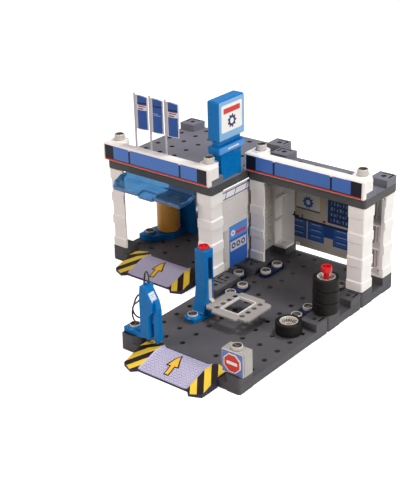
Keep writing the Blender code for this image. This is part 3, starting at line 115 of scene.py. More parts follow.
# Camera, at the photograph's angle

CAMERA_TARGET = cell(-5.192, 8.968)
CAMERA_DISTANCE = 63.013 * PITCH
CAMERA_AZIMUTH = math.radians(39.658)
CAMERA_ELEVATION = math.radians(24.94)
CAMERA_ROLL = math.radians(-1.59)
CAMERA_LENS = 84.06
SENSOR_HEIGHT = 36.0

backward = Vector((math.sin(CAMERA_AZIMUTH) * math.cos(CAMERA_ELEVATION),
                   -math.cos(CAMERA_AZIMUTH) * math.cos(CAMERA_ELEVATION), math.sin(CAMERA_ELEVATION)))
level = (-backward).cross(Vector((0, 0, 1))).normalized()
upright = level.cross(-backward)
right = math.cos(CAMERA_ROLL) * level + math.sin(CAMERA_ROLL) * upright
upward = math.cos(CAMERA_ROLL) * upright - math.sin(CAMERA_ROLL) * level
camera_data = bpy.data.cameras.new("camera")
camera_data.sensor_width = SENSOR_HEIGHT
camera_data.lens = CAMERA_LENS
camera = bpy.data.objects.new("camera", camera_data)
turned_frame = Matrix((right, upward, backward)).transposed().to_4x4()
camera.matrix_world = Matrix.Translation(CAMERA_TARGET + backward * CAMERA_DISTANCE) @ turned_frame
bpy.context.collection.objects.link(camera)
bpy.context.scene.camera = camera
bpy.context.scene.view_settings.view_transform = "Standard"


# Colours and shader nodes


def linear(channel):
    """One sRGB channel, 0 to 1, as linear light."""
    if channel <= 0.04045:
        return channel / 12.92
    return ((channel + 0.055) / 1.055) ** 2.4


def colour(text):
    """Linear colour of an sRGB hex value."""
    return (*[linear(int(text[k:k + 2], 16) / 255) for k in (0, 2, 4)], 1.0)


def add(tree, kind, inputs=(), **settings):
    """Add a node; inputs gives each socket, by name or number, its value or the socket that feeds it."""
    made = tree.nodes.new(kind)
    for name, value in settings.items():
        setattr(made, name, value)
    for key, value in dict(inputs).items():
        if isinstance(value, bpy.types.NodeSocket):
            tree.links.new(value, made.inputs[key])
        else:
            made.inputs[key].default_value = value
    return made


def start_material(name):
    """New node material with its shader and the Object coordinates."""
    material = bpy.data.materials.new(name)
    material.use_nodes = True
    tree = material.node_tree
    shader = tree.nodes["Principled BSDF"]
    place = add(tree, "ShaderNodeTexCoord").outputs["Object"]
    return material, tree, shader, place


def moulded(name, base, shade, roughness, grain, depth, shine=0.25):
    """Injection-moulded ABS: a soft mottle from the flow, the tool's fine grain and rubbed patches.

    base and shade are its two close colours, grain the tool's texture size, depth its height and shine its gloss.
    """
    material, tree, shader, place = start_material(name)
    mottle = add(tree, "ShaderNodeTexNoise", {"Vector": place, "Scale": 26.0, "Detail": 3.0}).outputs["Fac"]
    mixed = add(tree, "ShaderNodeMix", {0: mottle, 6: colour(base), 7: colour(shade)}, data_type="RGBA")
    tree.links.new(mixed.outputs[2], shader.inputs["Base Color"])
    rubbed = add(tree, "ShaderNodeTexNoise", {"Vector": place, "Scale": 60.0, "Detail": 5.0}).outputs["Fac"]
    spread = add(tree, "ShaderNodeMapRange", {"Value": rubbed, "From Min": 0.35, "From Max": 0.7,
                                              "To Min": roughness - 0.06, "To Max": roughness + 0.08})
    tree.links.new(spread.outputs["Result"], shader.inputs["Roughness"])
    fine = add(tree, "ShaderNodeTexNoise", {"Vector": place, "Scale": 1 / grain, "Detail": 2.0}).outputs["Fac"]
    bump = add(tree, "ShaderNodeBump", {"Height": fine, "Distance": depth, "Strength": 0.6})
    tree.links.new(bump.outputs["Normal"], shader.inputs["Normal"])
    shader.inputs["Specular IOR Level"].default_value = shine
    return material


# The grey plates are matt ABS with a pebbled tool texture, so light spreads on them without a mirror
FLOOR_ABS = moulded("moulded_abs_floor_grey", "535256", "4C4B4F", 0.52, 0.9 * MM, 0.12 * MM)
ROOF_ABS = moulded("moulded_abs_roof_grey", "74747F", "6B6B76", 0.50, 0.9 * MM, 0.12 * MM)
# White and blue parts are satin ABS from a polished tool, with small soft highlights
WHITE_ABS = moulded("moulded_abs_warm_white", "F2EEEC", "EBE7E5", 0.36, 1.6 * MM, 0.03 * MM, shine=0.35)
BLUE_ABS = moulded("moulded_abs_signal_blue", "0072BA", "006DB2", 0.30, 1.4 * MM, 0.03 * MM, shine=0.20)
NAVY_ABS = moulded("moulded_abs_navy", "0C1D44", "081634", 0.34, 1.2 * MM, 0.04 * MM)
RED_ABS = moulded("moulded_abs_red", "D41C26", "C41720", 0.28, 1.2 * MM, 0.03 * MM, shine=0.35)
# The toy screws are light grey ABS with a dull metallic-looking pigment
SCREW_ABS = moulded("moulded_abs_screw_grey", "CDC9C4", "B4AFAA", 0.28, 0.7 * MM, 0.05 * MM, shine=0.6)
# The roof plates' side faces, the blocks' grooves and the screws' driver recesses get darker greys, painted shade for
# the shade that falls on them; the driver recesses are left rough by the tool, so they read as dark cups in bright
# rings
ROOF_SIDE_PAINTED_SHADE = moulded("moulded_abs_roof_side_grey", "4E4F50", "474848", 0.42, 0.9 * MM, 0.05 * MM)
GROOVE_PAINTED_SHADE = moulded("moulded_abs_groove_grey", "232226", "1B1A1E", 0.60, 0.9 * MM, 0.06 * MM)
SCREW_RECESS_PAINTED_SHADE = moulded("moulded_abs_screw_recess", "6E6B68", "595653", 0.60, 0.7 * MM, 0.10 * MM)
PLATFORM_ABS = moulded("moulded_abs_stone_grey", "A39E9B", "8B8683", 0.38, 0.6 * MM, 0.12 * MM, shine=0.5)
CARRIAGE_ABS = moulded("moulded_abs_carriage_grey", "CDC9C5", "BEB9B5", 0.38, 1.0 * MM, 0.04 * MM)
RIM_ABS = moulded("moulded_abs_wheel_silver", "DCD7D1", "C9C3BC", 0.26, 1.0 * MM, 0.03 * MM, shine=0.6)
# The ramps' body is a matt violet, darkened as painted shade on its side and toe faces
RAMP_VIOLET_PAINTED_SHADE = moulded("moulded_abs_ramp_violet", "34304A", "2C283F", 0.45, 0.9 * MM, 0.08 * MM)


# Meshes


def on_axis(u, v, w, axis):
    """An outline's point (u, v) at the length w along an axis."""
    if axis == "X":
        return Vector((w, u, v))
    if axis == "Y":
        return Vector((u, w, v))
    return Vector((u, v, w))


def prism(outline, low, high, axis="Z"):
    """An outline carried along an axis: (x, y) along Z, (y, z) along X or (x, z) along Y."""
    solid = bmesh.new()
    face = solid.faces.new([solid.verts.new(on_axis(u, v, low, axis)) for u, v in outline])
    made = bmesh.ops.extrude_face_region(solid, geom=[face])
    verts = [item for item in made["geom"] if isinstance(item, bmesh.types.BMVert)]
    bmesh.ops.translate(solid, verts=verts, vec=on_axis(0, 0, high - low, axis))
    bmesh.ops.recalc_face_normals(solid, faces=solid.faces)
    return solid


def loft(rings):
    """Closed solid through rings of points, all with the same number of points."""
    solid = bmesh.new()
    loops = []
    for ring in rings:
        verts = [solid.verts.new(point) for point in ring]
        loops.append([solid.edges.new(pair) for pair in zip(verts, verts[1:] + verts[:1])])
        if ring is rings[0] or ring is rings[-1]:
            solid.faces.new(verts)
    for low, high in zip(loops, loops[1:]):
        bmesh.ops.bridge_loops(solid, edges=low + high)
    bmesh.ops.recalc_face_normals(solid, faces=solid.faces)
    return solid


def box(low, high):
    return prism([(low[0], low[1]), (high[0], low[1]), (high[0], high[1]), (low[0], high[1])], low[2], high[2])


def turned(profile, steps=ROUND_STEPS, ring=False):
    """Solid turned about Z from (radius, z) points, which start and end on the axis or form a ring."""
    solid = bmesh.new()
    verts = [solid.verts.new((radius, 0, z)) for radius, z in profile]
    edges = [solid.edges.new(pair) for pair in zip(verts, verts[1:])]
    if ring:
        edges.append(solid.edges.new((verts[-1], verts[0])))
    bmesh.ops.spin(solid, geom=verts + edges, cent=(0, 0, 0), axis=(0, 0, 1), angle=2 * math.pi,
                   steps=steps, use_merge=True)
    bmesh.ops.remove_doubles(solid, verts=solid.verts, dist=MERGE_DISTANCE)
    bmesh.ops.recalc_face_normals(solid, faces=solid.faces)
    return solid


def cylinder(diameter, low, high, steps=ROUND_STEPS, axis="Z"):
    turn = 2 * math.pi / steps
    outline = [(diameter / 2 * math.cos(k * turn), diameter / 2 * math.sin(k * turn)) for k in range(steps)]
    return prism(outline, low, high, axis)


def moved(solid, offset):
    bmesh.ops.translate(solid, verts=solid.verts, vec=offset)
    return solid


def rotated(solid, angle, axis="Z"):
    bmesh.ops.rotate(solid, verts=solid.verts, cent=(0, 0, 0), matrix=Matrix.Rotation(angle, 3, axis))
    return solid


def together(solids):
    """Separate bodies in one mesh."""
    result = bmesh.new()
    for solid in solids:
        scratch = bpy.data.meshes.new("scratch")
        solid.to_mesh(scratch)
        solid.free()
        result.from_mesh(scratch)
        bpy.data.meshes.remove(scratch)
    return result


def as_object(name, solid):
    """New linked object from a solid, which is used up."""
    mesh = bpy.data.meshes.new(name)
    solid.to_mesh(mesh)
    solid.free()
    thing = bpy.data.objects.new(name, mesh)
    bpy.context.collection.objects.link(thing)
    return thing


def settle(thing):
    """Give an object the mesh that its modifiers make, and drop the modifiers."""
    evaluated = thing.evaluated_get(bpy.context.evaluated_depsgraph_get())
    mesh = bpy.data.meshes.new_from_object(evaluated)
    thing.modifiers.clear()
    old = thing.data
    thing.data = mesh
    bpy.data.meshes.remove(old)
    return thing


def combine(base, tool, operation):
    """Boolean of two closed solids, which are both used up."""
    thing = as_object("scratch", base)
    other = as_object("scratch_tool", tool)
    modifier = thing.modifiers.new("combine", "BOOLEAN")
    modifier.object = other
    modifier.operation = operation
    modifier.solver = "EXACT"
    settle(thing)
    result = bmesh.new()
    result.from_mesh(thing.data)
    for used in (thing, other):
        mesh = used.data
        bpy.data.objects.remove(used)
        bpy.data.meshes.remove(mesh)
    bmesh.ops.remove_doubles(result, verts=result.verts, dist=MERGE_DISTANCE)
    return result


def cut(solid, *tools):
    for tool in tools:
        solid = combine(solid, tool, "DIFFERENCE")
    return solid


def united(solid, *others):
    for other in others:
        solid = combine(solid, other, "UNION")
    return solid


def rounded_rectangle(half_x, half_y, radius, steps=6):
    """Outline about the origin, counterclockwise, with round corners."""
    points = []
    for quarter, (sign_x, sign_y) in enumerate(((1, 1), (-1, 1), (-1, -1), (1, -1))):
        for step in range(steps + 1):
            angle = math.pi / 2 * (quarter + step / steps)
            points.append((sign_x * (half_x - radius) + radius * math.cos(angle),
                           sign_y * (half_y - radius) + radius * math.sin(angle)))
    return points


def softened(thing, edge, segments=2):
    """Round the sharp edges of an object as a mould does, with flat faces kept flat."""
    for polygon in thing.data.polygons:
        polygon.use_smooth = True
    if edge:
        bevel = thing.modifiers.new("edges", "BEVEL")
        bevel.width = edge
        bevel.segments = segments
        bevel.limit_method = "ANGLE"
        bevel.angle_limit = math.radians(32)
        bevel.miter_outer = "MITER_ARC"
    normals = thing.modifiers.new("normals", "WEIGHTED_NORMAL")
    normals.keep_sharp = True
    return settle(thing)


def finished(thing, material, node=None, body=None):
    """Give a piece its finish and body, and let it stand for its CAD node."""
    if not thing.data.materials:
        thing.data.materials.append(material)
    elif material is not None:
        thing.data.materials[0] = material
    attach(thing, body or body_of(node))
    if node:
        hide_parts(node)
    return thing


def placed(name, source, offset, angle=0.0):
    """Copy of an object's mesh under a new name, turned about Z and moved, with its place in the mesh."""
    mesh = source.data.copy()
    mesh.transform(Matrix.Translation(offset) @ Matrix.Rotation(angle, 4, "Z"))
    thing = bpy.data.objects.new(name, mesh)
    bpy.context.collection.objects.link(thing)
    return thing


def discard(thing):
    mesh = thing.data
    bpy.data.objects.remove(thing)
    bpy.data.meshes.remove(mesh)


def solid_of(node):
    """A CAD node's shape as one closed mesh."""
    shape = bmesh.new()
    shape.from_mesh(frame["nodes"][node].data)
    bmesh.ops.remove_doubles(shape, verts=shape.verts, dist=MERGE_DISTANCE)
    bmesh.ops.dissolve_limit(shape, angle_limit=math.radians(1), verts=shape.verts, edges=shape.edges)
    return shape


def from_node(name, node, edge, material, more=()):
    """Piece with a CAD node's shape, with more solids joined to it, and the rounded edges of a moulding."""
    shape = solid_of(node)
    for solid in more:
        shape = united(shape, solid)
    thing = softened(as_object(name, shape), edge)
    thing.data.materials.clear()
    return finished(thing, material, node)


# Studio


def seen_share(tree):
    """How far a ray shows the studio's white: wholly to the camera and through glass, partly in reflections."""
    path = add(tree, "ShaderNodeLightPath")
    glossy = add(tree, "ShaderNodeMath", {0: path.outputs["Is Glossy Ray"], 1: 0.4}, operation="MULTIPLY").outputs[0]
    direct = add(tree, "ShaderNodeMath", {0: path.outputs["Is Camera Ray"], 1: path.outputs["Is Transmission Ray"]},
                 operation="ADD").outputs[0]
    return add(tree, "ShaderNodeMath", {0: direct, 1: glossy}, operation="ADD", use_clamp=True).outputs[0]


def studio():
    """Pale floor that keeps the object's shadow, a white surround and soft lamps from the right, left and above."""
    ground = as_object("studio_floor", prism([(-9, -9), (9, -9), (9, 9), (-9, 9)], CAD_BOX[0].z - 0.02, CAD_BOX[0].z))
    material, tree, shader, place = start_material("studio_paper")
    shader.inputs["Base Color"].default_value = colour("D6D6D6")
    shader.inputs["Roughness"].default_value = 0.9
    lift = add(tree, "ShaderNodeMath", {0: seen_share(tree), 1: 0.80}, operation="MULTIPLY").outputs[0]
    shader.inputs["Emission Color"].default_value = colour("FFFFFF")
    tree.links.new(lift, shader.inputs["Emission Strength"])
    ground.data.materials.append(material)
    world = bpy.data.worlds.new("studio_white")
    world.use_nodes = True
    tree = world.node_tree
    strength = add(tree, "ShaderNodeMapRange", {"Value": seen_share(tree), "To Min": 0.145}).outputs["Result"]
    tree.nodes["Background"].inputs["Color"].default_value = colour("FFFFFF")
    tree.links.new(strength, tree.nodes["Background"].inputs["Strength"])
    bpy.context.scene.world = world
    middle = (CAD_BOX[0] + CAD_BOX[1]) / 2
    for name, azimuth, elevation, distance, size, power, tone in (("lamp_right", 82, 18, 2.3, 0.8, 28, "FFFDF8"),
                                                                  ("lamp_left", -25, 40, 2.6, 1.2, 33, "FFEEE6"),
                                                                  ("lamp_above", 150, 68, 2.2, 0.7, 34, "FFFFFF")):
        data = bpy.data.lights.new(name, "AREA")
        data.shape = "DISK"
        data.size = size
        data.energy = power
        data.color = colour(tone)[:3]
        a, e = math.radians(azimuth), math.radians(elevation)
        away = Vector((math.sin(a) * math.cos(e), -math.cos(a) * math.cos(e), math.sin(e)))
        lamp = bpy.data.objects.new(name, data)
        lamp.matrix_world = (Matrix.Translation(middle + away * distance)
                             @ away.to_track_quat("Z", "Y").to_matrix().to_4x4())
        bpy.context.collection.objects.link(lamp)


studio()


# Hose of the fuel pump


PUMP_PLACE = cell(-1, -1)
HOSE_DIAMETER = 2.8 * MM
HOSE_ROUTE = [
    (32.08, 0.0, 106.2), (31.9, 0.9, 111.4), (28.6, 4.6, 116.8), (21.4, 9.2, 118.6), (14.2, 13.2, 113.8),
    (10.6, 14.8, 103.0), (9.0, 14.2, 88.0), (6.4, 12.9, 74.0), (0.8, 12.4, 63.8), (-6.0, 13.2, 56.5),
    (-12.8, 13.8, 50.2), (-16.6, 14.0, 42.6), (-14.6, 14.2, 34.2), (-7.0, 14.9, 29.4), (2.4, 16.6, 30.6),
    (10.0, 18.6, 37.6), (12.8, 19.8, 48.0), (10.6, 20.2, 59.6), (3.4, 19.9, 67.6), (-5.2, 18.9, 68.0),
    (-12.0, 18.4, 60.6), (-16.4, 18.4, 50.6), (-20.0, 17.9, 40.0), (-21.4, 17.4, 29.6), (-18.2, 17.2, 20.0),
    (-9.0, 17.9, 14.4), (1.5, 20.8, 14.2), (10.6, 22.4, 18.4), (17.3, 20.3, 23.8), (20.9, 15.6, 27.0),
    (21.6, 10.25, 27.8)]


def smooth_route(points, step):
    """Points about a step apart on a smooth curve through the route's points, straight at both ends."""
    route = [Vector(point) * MM for point in points]
    ends = [2 * route[0] - route[1]] + route + [2 * route[-1] - route[-2]]
    dense = []
    for before, start, end, after in zip(ends, ends[1:], ends[2:], ends[3:]):
        for k in range(16):
            t = k / 16
            dense.append(0.5 * (2 * start + (end - before) * t
                                + (2 * before - 5 * start + 4 * end - after) * t ** 2
                                + (3 * start - before - 3 * end + after) * t ** 3))
    dense.append(route[-1])
    spaced = [dense[0]]
    for point in dense[1:-1]:
        if (point - spaced[-1]).length >= step:
            spaced.append(point)
    return spaced + [dense[-1]]


def hose():
    """Black PVC hose from the pump's socket, hung in a loop behind it and back into its side."""
    # Soft PVC: near-black with a satin skin, fine lengthwise rubbing and a faint bloom
    material, tree, shader, place = start_material("soft_pvc_black")
    cloud = add(tree, "ShaderNodeTexNoise", {"Vector": place, "Scale": 140.0, "Detail": 3.0}).outputs["Fac"]
    tint = add(tree, "ShaderNodeMix", {0: cloud, 6: colour("131316"), 7: colour("232328")}, data_type="RGBA")
    tree.links.new(tint.outputs[2], shader.inputs["Base Color"])
    shader.inputs["Roughness"].default_value = 0.38
    bump = add(tree, "ShaderNodeBump", {"Height": cloud, "Distance": 0.08 * MM, "Strength": 0.4})
    tree.links.new(bump.outputs["Normal"], shader.inputs["Normal"])
    points = [PUMP_PLACE + point for point in smooth_route(HOSE_ROUTE, 2.5 * MM)]
    curve = bpy.data.curves.new("pump_hose_pvc", "CURVE")
    curve.dimensions = "3D"
    curve.bevel_depth = HOSE_DIAMETER / 2
    curve.bevel_resolution = 4
    curve.use_fill_caps = True
    spline = curve.splines.new("POLY")
    spline.points.add(len(points) - 1)
    for point, spot in zip(spline.points, points):
        point.co = (*spot, 1.0)
    curve.materials.append(material)
    piece = bpy.data.objects.new("pump_hose_pvc", curve)
    bpy.context.collection.objects.link(piece)
    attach(piece, "base")
    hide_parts("pump_hose")


hose()


# Plates


def perforator():
    """Node tree that punches rows of round holes in a plate, each with its screw tube below.

    Columns and Rows count the cells, Pitch is their spacing, Hole the hole's diameter, Tube the tube's shape and
    Finish the material. The middle column has no holes, and the corner blocks need no tubes.
    """
    tree = bpy.data.node_groups.new("perforated_plate", "GeometryNodeTree")
    faces = tree.interface
    faces.new_socket(name="Geometry", in_out="INPUT", socket_type="NodeSocketGeometry")
    for name, kind, value in (("Columns", "Int", PLATE_CELLS), ("Rows", "Int", PLATE_CELLS),
                              ("Pitch", "Float", PITCH), ("Hole", "Float", 9.3 * MM)):
        faces.new_socket(name=name, in_out="INPUT", socket_type="NodeSocket" + kind).default_value = value
    faces.new_socket(name="Tube", in_out="INPUT", socket_type="NodeSocketObject")
    faces.new_socket(name="Finish", in_out="INPUT", socket_type="NodeSocketMaterial")
    faces.new_socket(name="Geometry", in_out="OUTPUT", socket_type="NodeSocketGeometry")
    given = tree.nodes.new("NodeGroupInput").outputs
    spans = []
    for count in ("Columns", "Rows"):
        gaps = add(tree, "ShaderNodeMath", {0: given[count], 1: 1.0}, operation="SUBTRACT").outputs[0]
        spans.append(add(tree, "ShaderNodeMath", {0: gaps, 1: given["Pitch"]}, operation="MULTIPLY").outputs[0])
    grid = add(tree, "GeometryNodeMeshGrid", {"Size X": spans[0], "Size Y": spans[1],
                                              "Vertices X": given["Columns"], "Vertices Y": given["Rows"]})
    place = add(tree, "GeometryNodeInputPosition").outputs[0]
    split = add(tree, "ShaderNodeSeparateXYZ", {0: place}).outputs
    reach = [add(tree, "ShaderNodeMath", {0: split[axis]}, operation="ABSOLUTE").outputs[0] for axis in ("X", "Y")]
    middle = add(tree, "FunctionNodeCompare", {0: reach[0], 1: PITCH / 2}, operation="LESS_THAN").outputs[0]
    far = []
    for span, distance in zip(spans, reach):
        edge = add(tree, "ShaderNodeMath", {0: span, 1: 0.5, 2: -PITCH / 4}, operation="MULTIPLY_ADD").outputs[0]
        far.append(add(tree, "FunctionNodeCompare", {0: distance, 1: edge}, operation="GREATER_THAN").outputs[0])
    corner = add(tree, "FunctionNodeBooleanMath", {0: far[0], 1: far[1]}, operation="AND").outputs[0]
    kept = add(tree, "GeometryNodeDeleteGeometry", {"Geometry": grid.outputs["Mesh"], "Selection": middle}).outputs[0]
    radius = add(tree, "ShaderNodeMath", {0: given["Hole"], 1: 0.5}, operation="MULTIPLY").outputs[0]
    punch = add(tree, "GeometryNodeMeshCylinder", {"Vertices": 24, "Radius": radius, "Depth": 0.09})
    points = add(tree, "GeometryNodeMeshToPoints", {"Mesh": kept}).outputs[0]
    row = add(tree, "GeometryNodeInstanceOnPoints", {"Points": points, "Instance": punch.outputs["Mesh"]})
    punches = add(tree, "GeometryNodeRealizeInstances", {"Geometry": row.outputs[0]}).outputs[0]
    cutter = add(tree, "GeometryNodeMeshBoolean", {0: given["Geometry"], 1: punches}, operation="DIFFERENCE",
                 solver="EXACT")
    inner = add(tree, "GeometryNodeDeleteGeometry", {"Geometry": kept, "Selection": corner}).outputs[0]
    inner_points = add(tree, "GeometryNodeMeshToPoints", {"Mesh": inner}).outputs[0]
    tube = add(tree, "GeometryNodeObjectInfo", {"Object": given["Tube"]}).outputs["Geometry"]
    tubes = add(tree, "GeometryNodeInstanceOnPoints", {"Points": inner_points, "Instance": tube}).outputs[0]
    joined = add(tree, "GeometryNodeJoinGeometry")
    for part in (cutter.outputs["Mesh"], tubes):
        tree.links.new(part, joined.inputs[0])
    real = add(tree, "GeometryNodeRealizeInstances", {"Geometry": joined.outputs[0]}).outputs[0]
    dressed = add(tree, "GeometryNodeSetMaterial", {"Geometry": real, "Material": given["Finish"]}).outputs[0]
    add(tree, "NodeGroupOutput", {"Geometry": dressed})
    return tree


PERFORATOR = perforator()


def grown(thing, tree, **inputs):
    """Run a node tree on an object with these named inputs, and keep the mesh that it makes."""
    modifier = thing.modifiers.new(tree.name, "NODES")
    modifier.node_group = tree
    for socket in tree.interface.items_tree:
        key = socket.name.replace(" ", "_").lower()
        if socket.item_type == "SOCKET" and socket.in_out == "INPUT" and key in inputs:
            modifier[socket.identifier] = inputs[key]
    return settle(thing)


SKIRT_LOW = 1.2 * MM - PLATE_DEPTH
CORNER_RADIUS = 4.6 * MM
BLOCK_CHAMFER = 9.5 * MM


def block_outline(side_x, side_y, chamfered):
    """Corner block in plan, its outer corner rounded; a front block is cut off towards the ramp."""
    half = BLOCK_WIDTH / 2
    radius = CORNER_RADIUS
    outline = [(half - radius + radius * math.cos(angle), half - radius + radius * math.sin(angle))
               for angle in [math.pi / 2 * step / 6 for step in range(7)]]
    if chamfered:
        outline += [(BLOCK_CHAMFER - half, half), (-half, half - BLOCK_CHAMFER)]
    else:
        outline += [(-half, half)]
    outline += [(-half, -half), (half, -half)]
    return [(side_x * x, side_y * y) for x, y in outline]


def plate_blank(columns, rows):
    """Plate without holes about its middle, floor surface at z = 0, as on the solids."""
    half_x = (columns * PITCH - GAP) / 2
    half_y = (rows * PITCH - GAP) / 2
    wall = 2.4 * MM
    solid = prism(rounded_rectangle(half_x, half_y, CORNER_RADIUS), SKIRT_LOW, 0)
    pocket = rounded_rectangle(half_x - wall, half_y - wall, CORNER_RADIUS)
    solid = cut(solid, prism(pocket, -2 * PLATE_DEPTH, -2.6 * MM))
    for side_x in (-1, 1):
        for side_y in (-1, 1):
            middle = (side_x * (columns - 1) / 2 * PITCH, side_y * (rows - 1) / 2 * PITCH, 0)
            outline = block_outline(side_x, side_y, side_y < 0 and rows == PLATE_CELLS)
            solid = united(solid, moved(prism(outline, -PLATE_DEPTH, BLOCK_HEIGHT), middle))
            solid = cut(solid, moved(block_marks(side_x, side_y), middle))
    rib = box((-1 * MM, wall / 2 - half_y, SKIRT_LOW + 1.2 * MM), (1 * MM, half_y - wall / 2, -1.3 * MM))
    return united(solid, rib)


def block_marks(side_x, side_y):
    """Cutters for a corner block's locating groove, an L towards the plate's corner."""
    outer, inner, low, high = 12.6 * MM, 9.9 * MM, BLOCK_HEIGHT - 4.5 * MM, BLOCK_HEIGHT + 1 * MM

    def groove(x0, y0, x1, y1):
        xs = sorted((side_x * x0, side_x * x1))
        ys = sorted((side_y * y0, side_y * y1))
        return box((xs[0], ys[0], low), (xs[1], ys[1], high))

    return together([groove(inner, -4.0 * MM, outer, outer), groove(-9.0 * MM, inner, inner - 0.01 * MM, outer)])


def plate(columns, rows, finish):
    """Finished plate about its middle: round screw holes and edges rounded as in the mould."""
    low, high, inner, outer = -12.5 * MM, -2.5 * MM, 4.65 * MM, 6.1 * MM
    tube = as_object("tube", turned([(inner, low), (outer, low), (outer, high), (inner, high)], 24, ring=True))
    thing = grown(as_object("plate", plate_blank(columns, rows)), PERFORATOR, columns=columns, rows=rows,
                  tube=tube, finish=finish)
    discard(tube)
    shape = bmesh.new()
    shape.from_mesh(thing.data)
    bmesh.ops.remove_doubles(shape, verts=shape.verts, dist=MERGE_DISTANCE)
    bmesh.ops.dissolve_limit(shape, angle_limit=math.radians(1), verts=shape.verts, edges=shape.edges)
    shape.to_mesh(thing.data)
    shape.free()
    thing = softened(thing, 0.5 * MM)
    # The walls and floor of each block's L-groove take a near-black grey, painted shade in the groove
    thing.data.materials.append(GROOVE_PAINTED_SHADE)
    for face in thing.data.polygons:
        x, y, z = face.center
        u = abs(x) - (columns - 1) / 2 * PITCH
        v = abs(y) - (rows - 1) / 2 * PITCH
        in_corner = -9.1 * MM < u < 12.7 * MM and -9.1 * MM < v < 12.7 * MM
        if in_corner and max(u, v) > 9.8 * MM and BLOCK_HEIGHT - 4.7 * MM < z < BLOCK_HEIGHT - 0.7 * MM:
            face.material_index = len(thing.data.materials) - 1
    if finish is ROOF_ABS:
        # The roof plates' side faces below the top take a darker grey, painted shade
        thing.data.materials.append(ROOF_SIDE_PAINTED_SHADE)
        for face in thing.data.polygons:
            if abs(face.normal.z) < 0.5 and face.center.z < -0.4 * MM:
                face.material_index = len(thing.data.materials) - 1
    return thing


def plates():
    """Six perforated plates in two greys."""
    kinds = {(rows, finish.name): plate(PLATE_CELLS, rows, finish)
             for rows, finish in ((PLATE_CELLS, FLOOR_ABS), (HALF_PLATE_CELLS, FLOOR_ABS),
                                  (PLATE_CELLS, ROOF_ABS), (HALF_PLATE_CELLS, ROOF_ABS))}
    for node, centre, height, rows, finish in (
            ("base_plate_front", FRONT_PLATE_CENTRE, 0, PLATE_CELLS, FLOOR_ABS),
            ("base_plate_mid", MID_PLATE_CENTRE, 0, HALF_PLATE_CELLS, FLOOR_ABS),
            ("base_plate_back", BACK_PLATE_CENTRE, 0, HALF_PLATE_CELLS, FLOOR_ABS),
            ("base_plate_wash", WASH_PLATE_CENTRE, 0, PLATE_CELLS, FLOOR_ABS),
            ("roof_plate_wash", WASH_PLATE_CENTRE, STOREY_HEIGHT, PLATE_CELLS, ROOF_ABS),
            ("roof_plate_bay", BACK_PLATE_CENTRE, STOREY_HEIGHT, HALF_PLATE_CELLS, ROOF_ABS)):
        source = kinds[rows, finish.name]
        finished(placed(node + "_perforated", source, cell(*centre, height)), finish, node)
    for source in kinds.values():
        discard(source)


plates()


# Screws and connectors


def planter():
    """Node tree that stands one shape on every point, each turned by a random angle.

    Shape is the piece to stand, Seed fixes the turns, Finish is the material and Recess Finish that of the
    faces marked as sunk, which take a darker grey as painted shade.
    """
    tree = bpy.data.node_groups.new("planted_shapes", "GeometryNodeTree")
    faces = tree.interface
    faces.new_socket(name="Geometry", in_out="INPUT", socket_type="NodeSocketGeometry")
    faces.new_socket(name="Shape", in_out="INPUT", socket_type="NodeSocketObject")
    faces.new_socket(name="Seed", in_out="INPUT", socket_type="NodeSocketInt").default_value = 3
    faces.new_socket(name="Finish", in_out="INPUT", socket_type="NodeSocketMaterial")
    faces.new_socket(name="Recess Finish", in_out="INPUT", socket_type="NodeSocketMaterial")
    faces.new_socket(name="Geometry", in_out="OUTPUT", socket_type="NodeSocketGeometry")
    given = tree.nodes.new("NodeGroupInput").outputs
    shape = add(tree, "GeometryNodeObjectInfo", {"Object": given["Shape"]}).outputs["Geometry"]
    turn = add(tree, "FunctionNodeRandomValue", {"Min": (0, 0, 0), "Max": (0, 0, 2 * math.pi), "Seed": given["Seed"]},
               data_type="FLOAT_VECTOR").outputs[0]
    points = add(tree, "GeometryNodeMeshToPoints", {"Mesh": given["Geometry"]}).outputs[0]
    stood = add(tree, "GeometryNodeInstanceOnPoints", {"Points": points, "Instance": shape, "Rotation": turn})
    real = add(tree, "GeometryNodeRealizeInstances", {"Geometry": stood.outputs[0]}).outputs[0]
    sunk = add(tree, "GeometryNodeInputNamedAttribute", {"Name": "sunk"}, data_type="BOOLEAN").outputs["Attribute"]
    dressed = add(tree, "GeometryNodeSetMaterial", {"Geometry": real, "Material": given["Finish"]}).outputs[0]
    # Faces marked as sunk take the recess material, a darker grey of painted shade
    dressed = add(tree, "GeometryNodeSetMaterial", {"Geometry": dressed, "Selection": sunk,
                                                    "Material": given["Recess Finish"]}).outputs[0]
    add(tree, "NodeGroupOutput", {"Geometry": dressed})
    return tree


PLANTER = planter()
HEAD_RADIUS = 9.1 * MM
SHAFT_RADIUS = 3.2 * MM


def cup(radius, height, wall, depth, shaft_radius, shaft):
    """Profile of a cup-shaped head with a rolled rim, on a shaft that ends at -shaft."""
    edge = 0.18 * height
    return [(0, -shaft), (shaft_radius * 0.7, -shaft), (shaft_radius, 1.4 * MM - shaft), (shaft_radius, 0),
            (radius - 0.5 * MM, 0), (radius, 0.5 * MM), (radius, height - edge), (radius - 0.3 * edge, height - 0.35 * edge),
            (radius - 0.8 * edge, height), (radius - wall + 0.2 * MM, height), (radius - wall, height - 0.5 * MM),
            (radius - wall - 0.4 * MM, height - depth), (0, height - depth)]


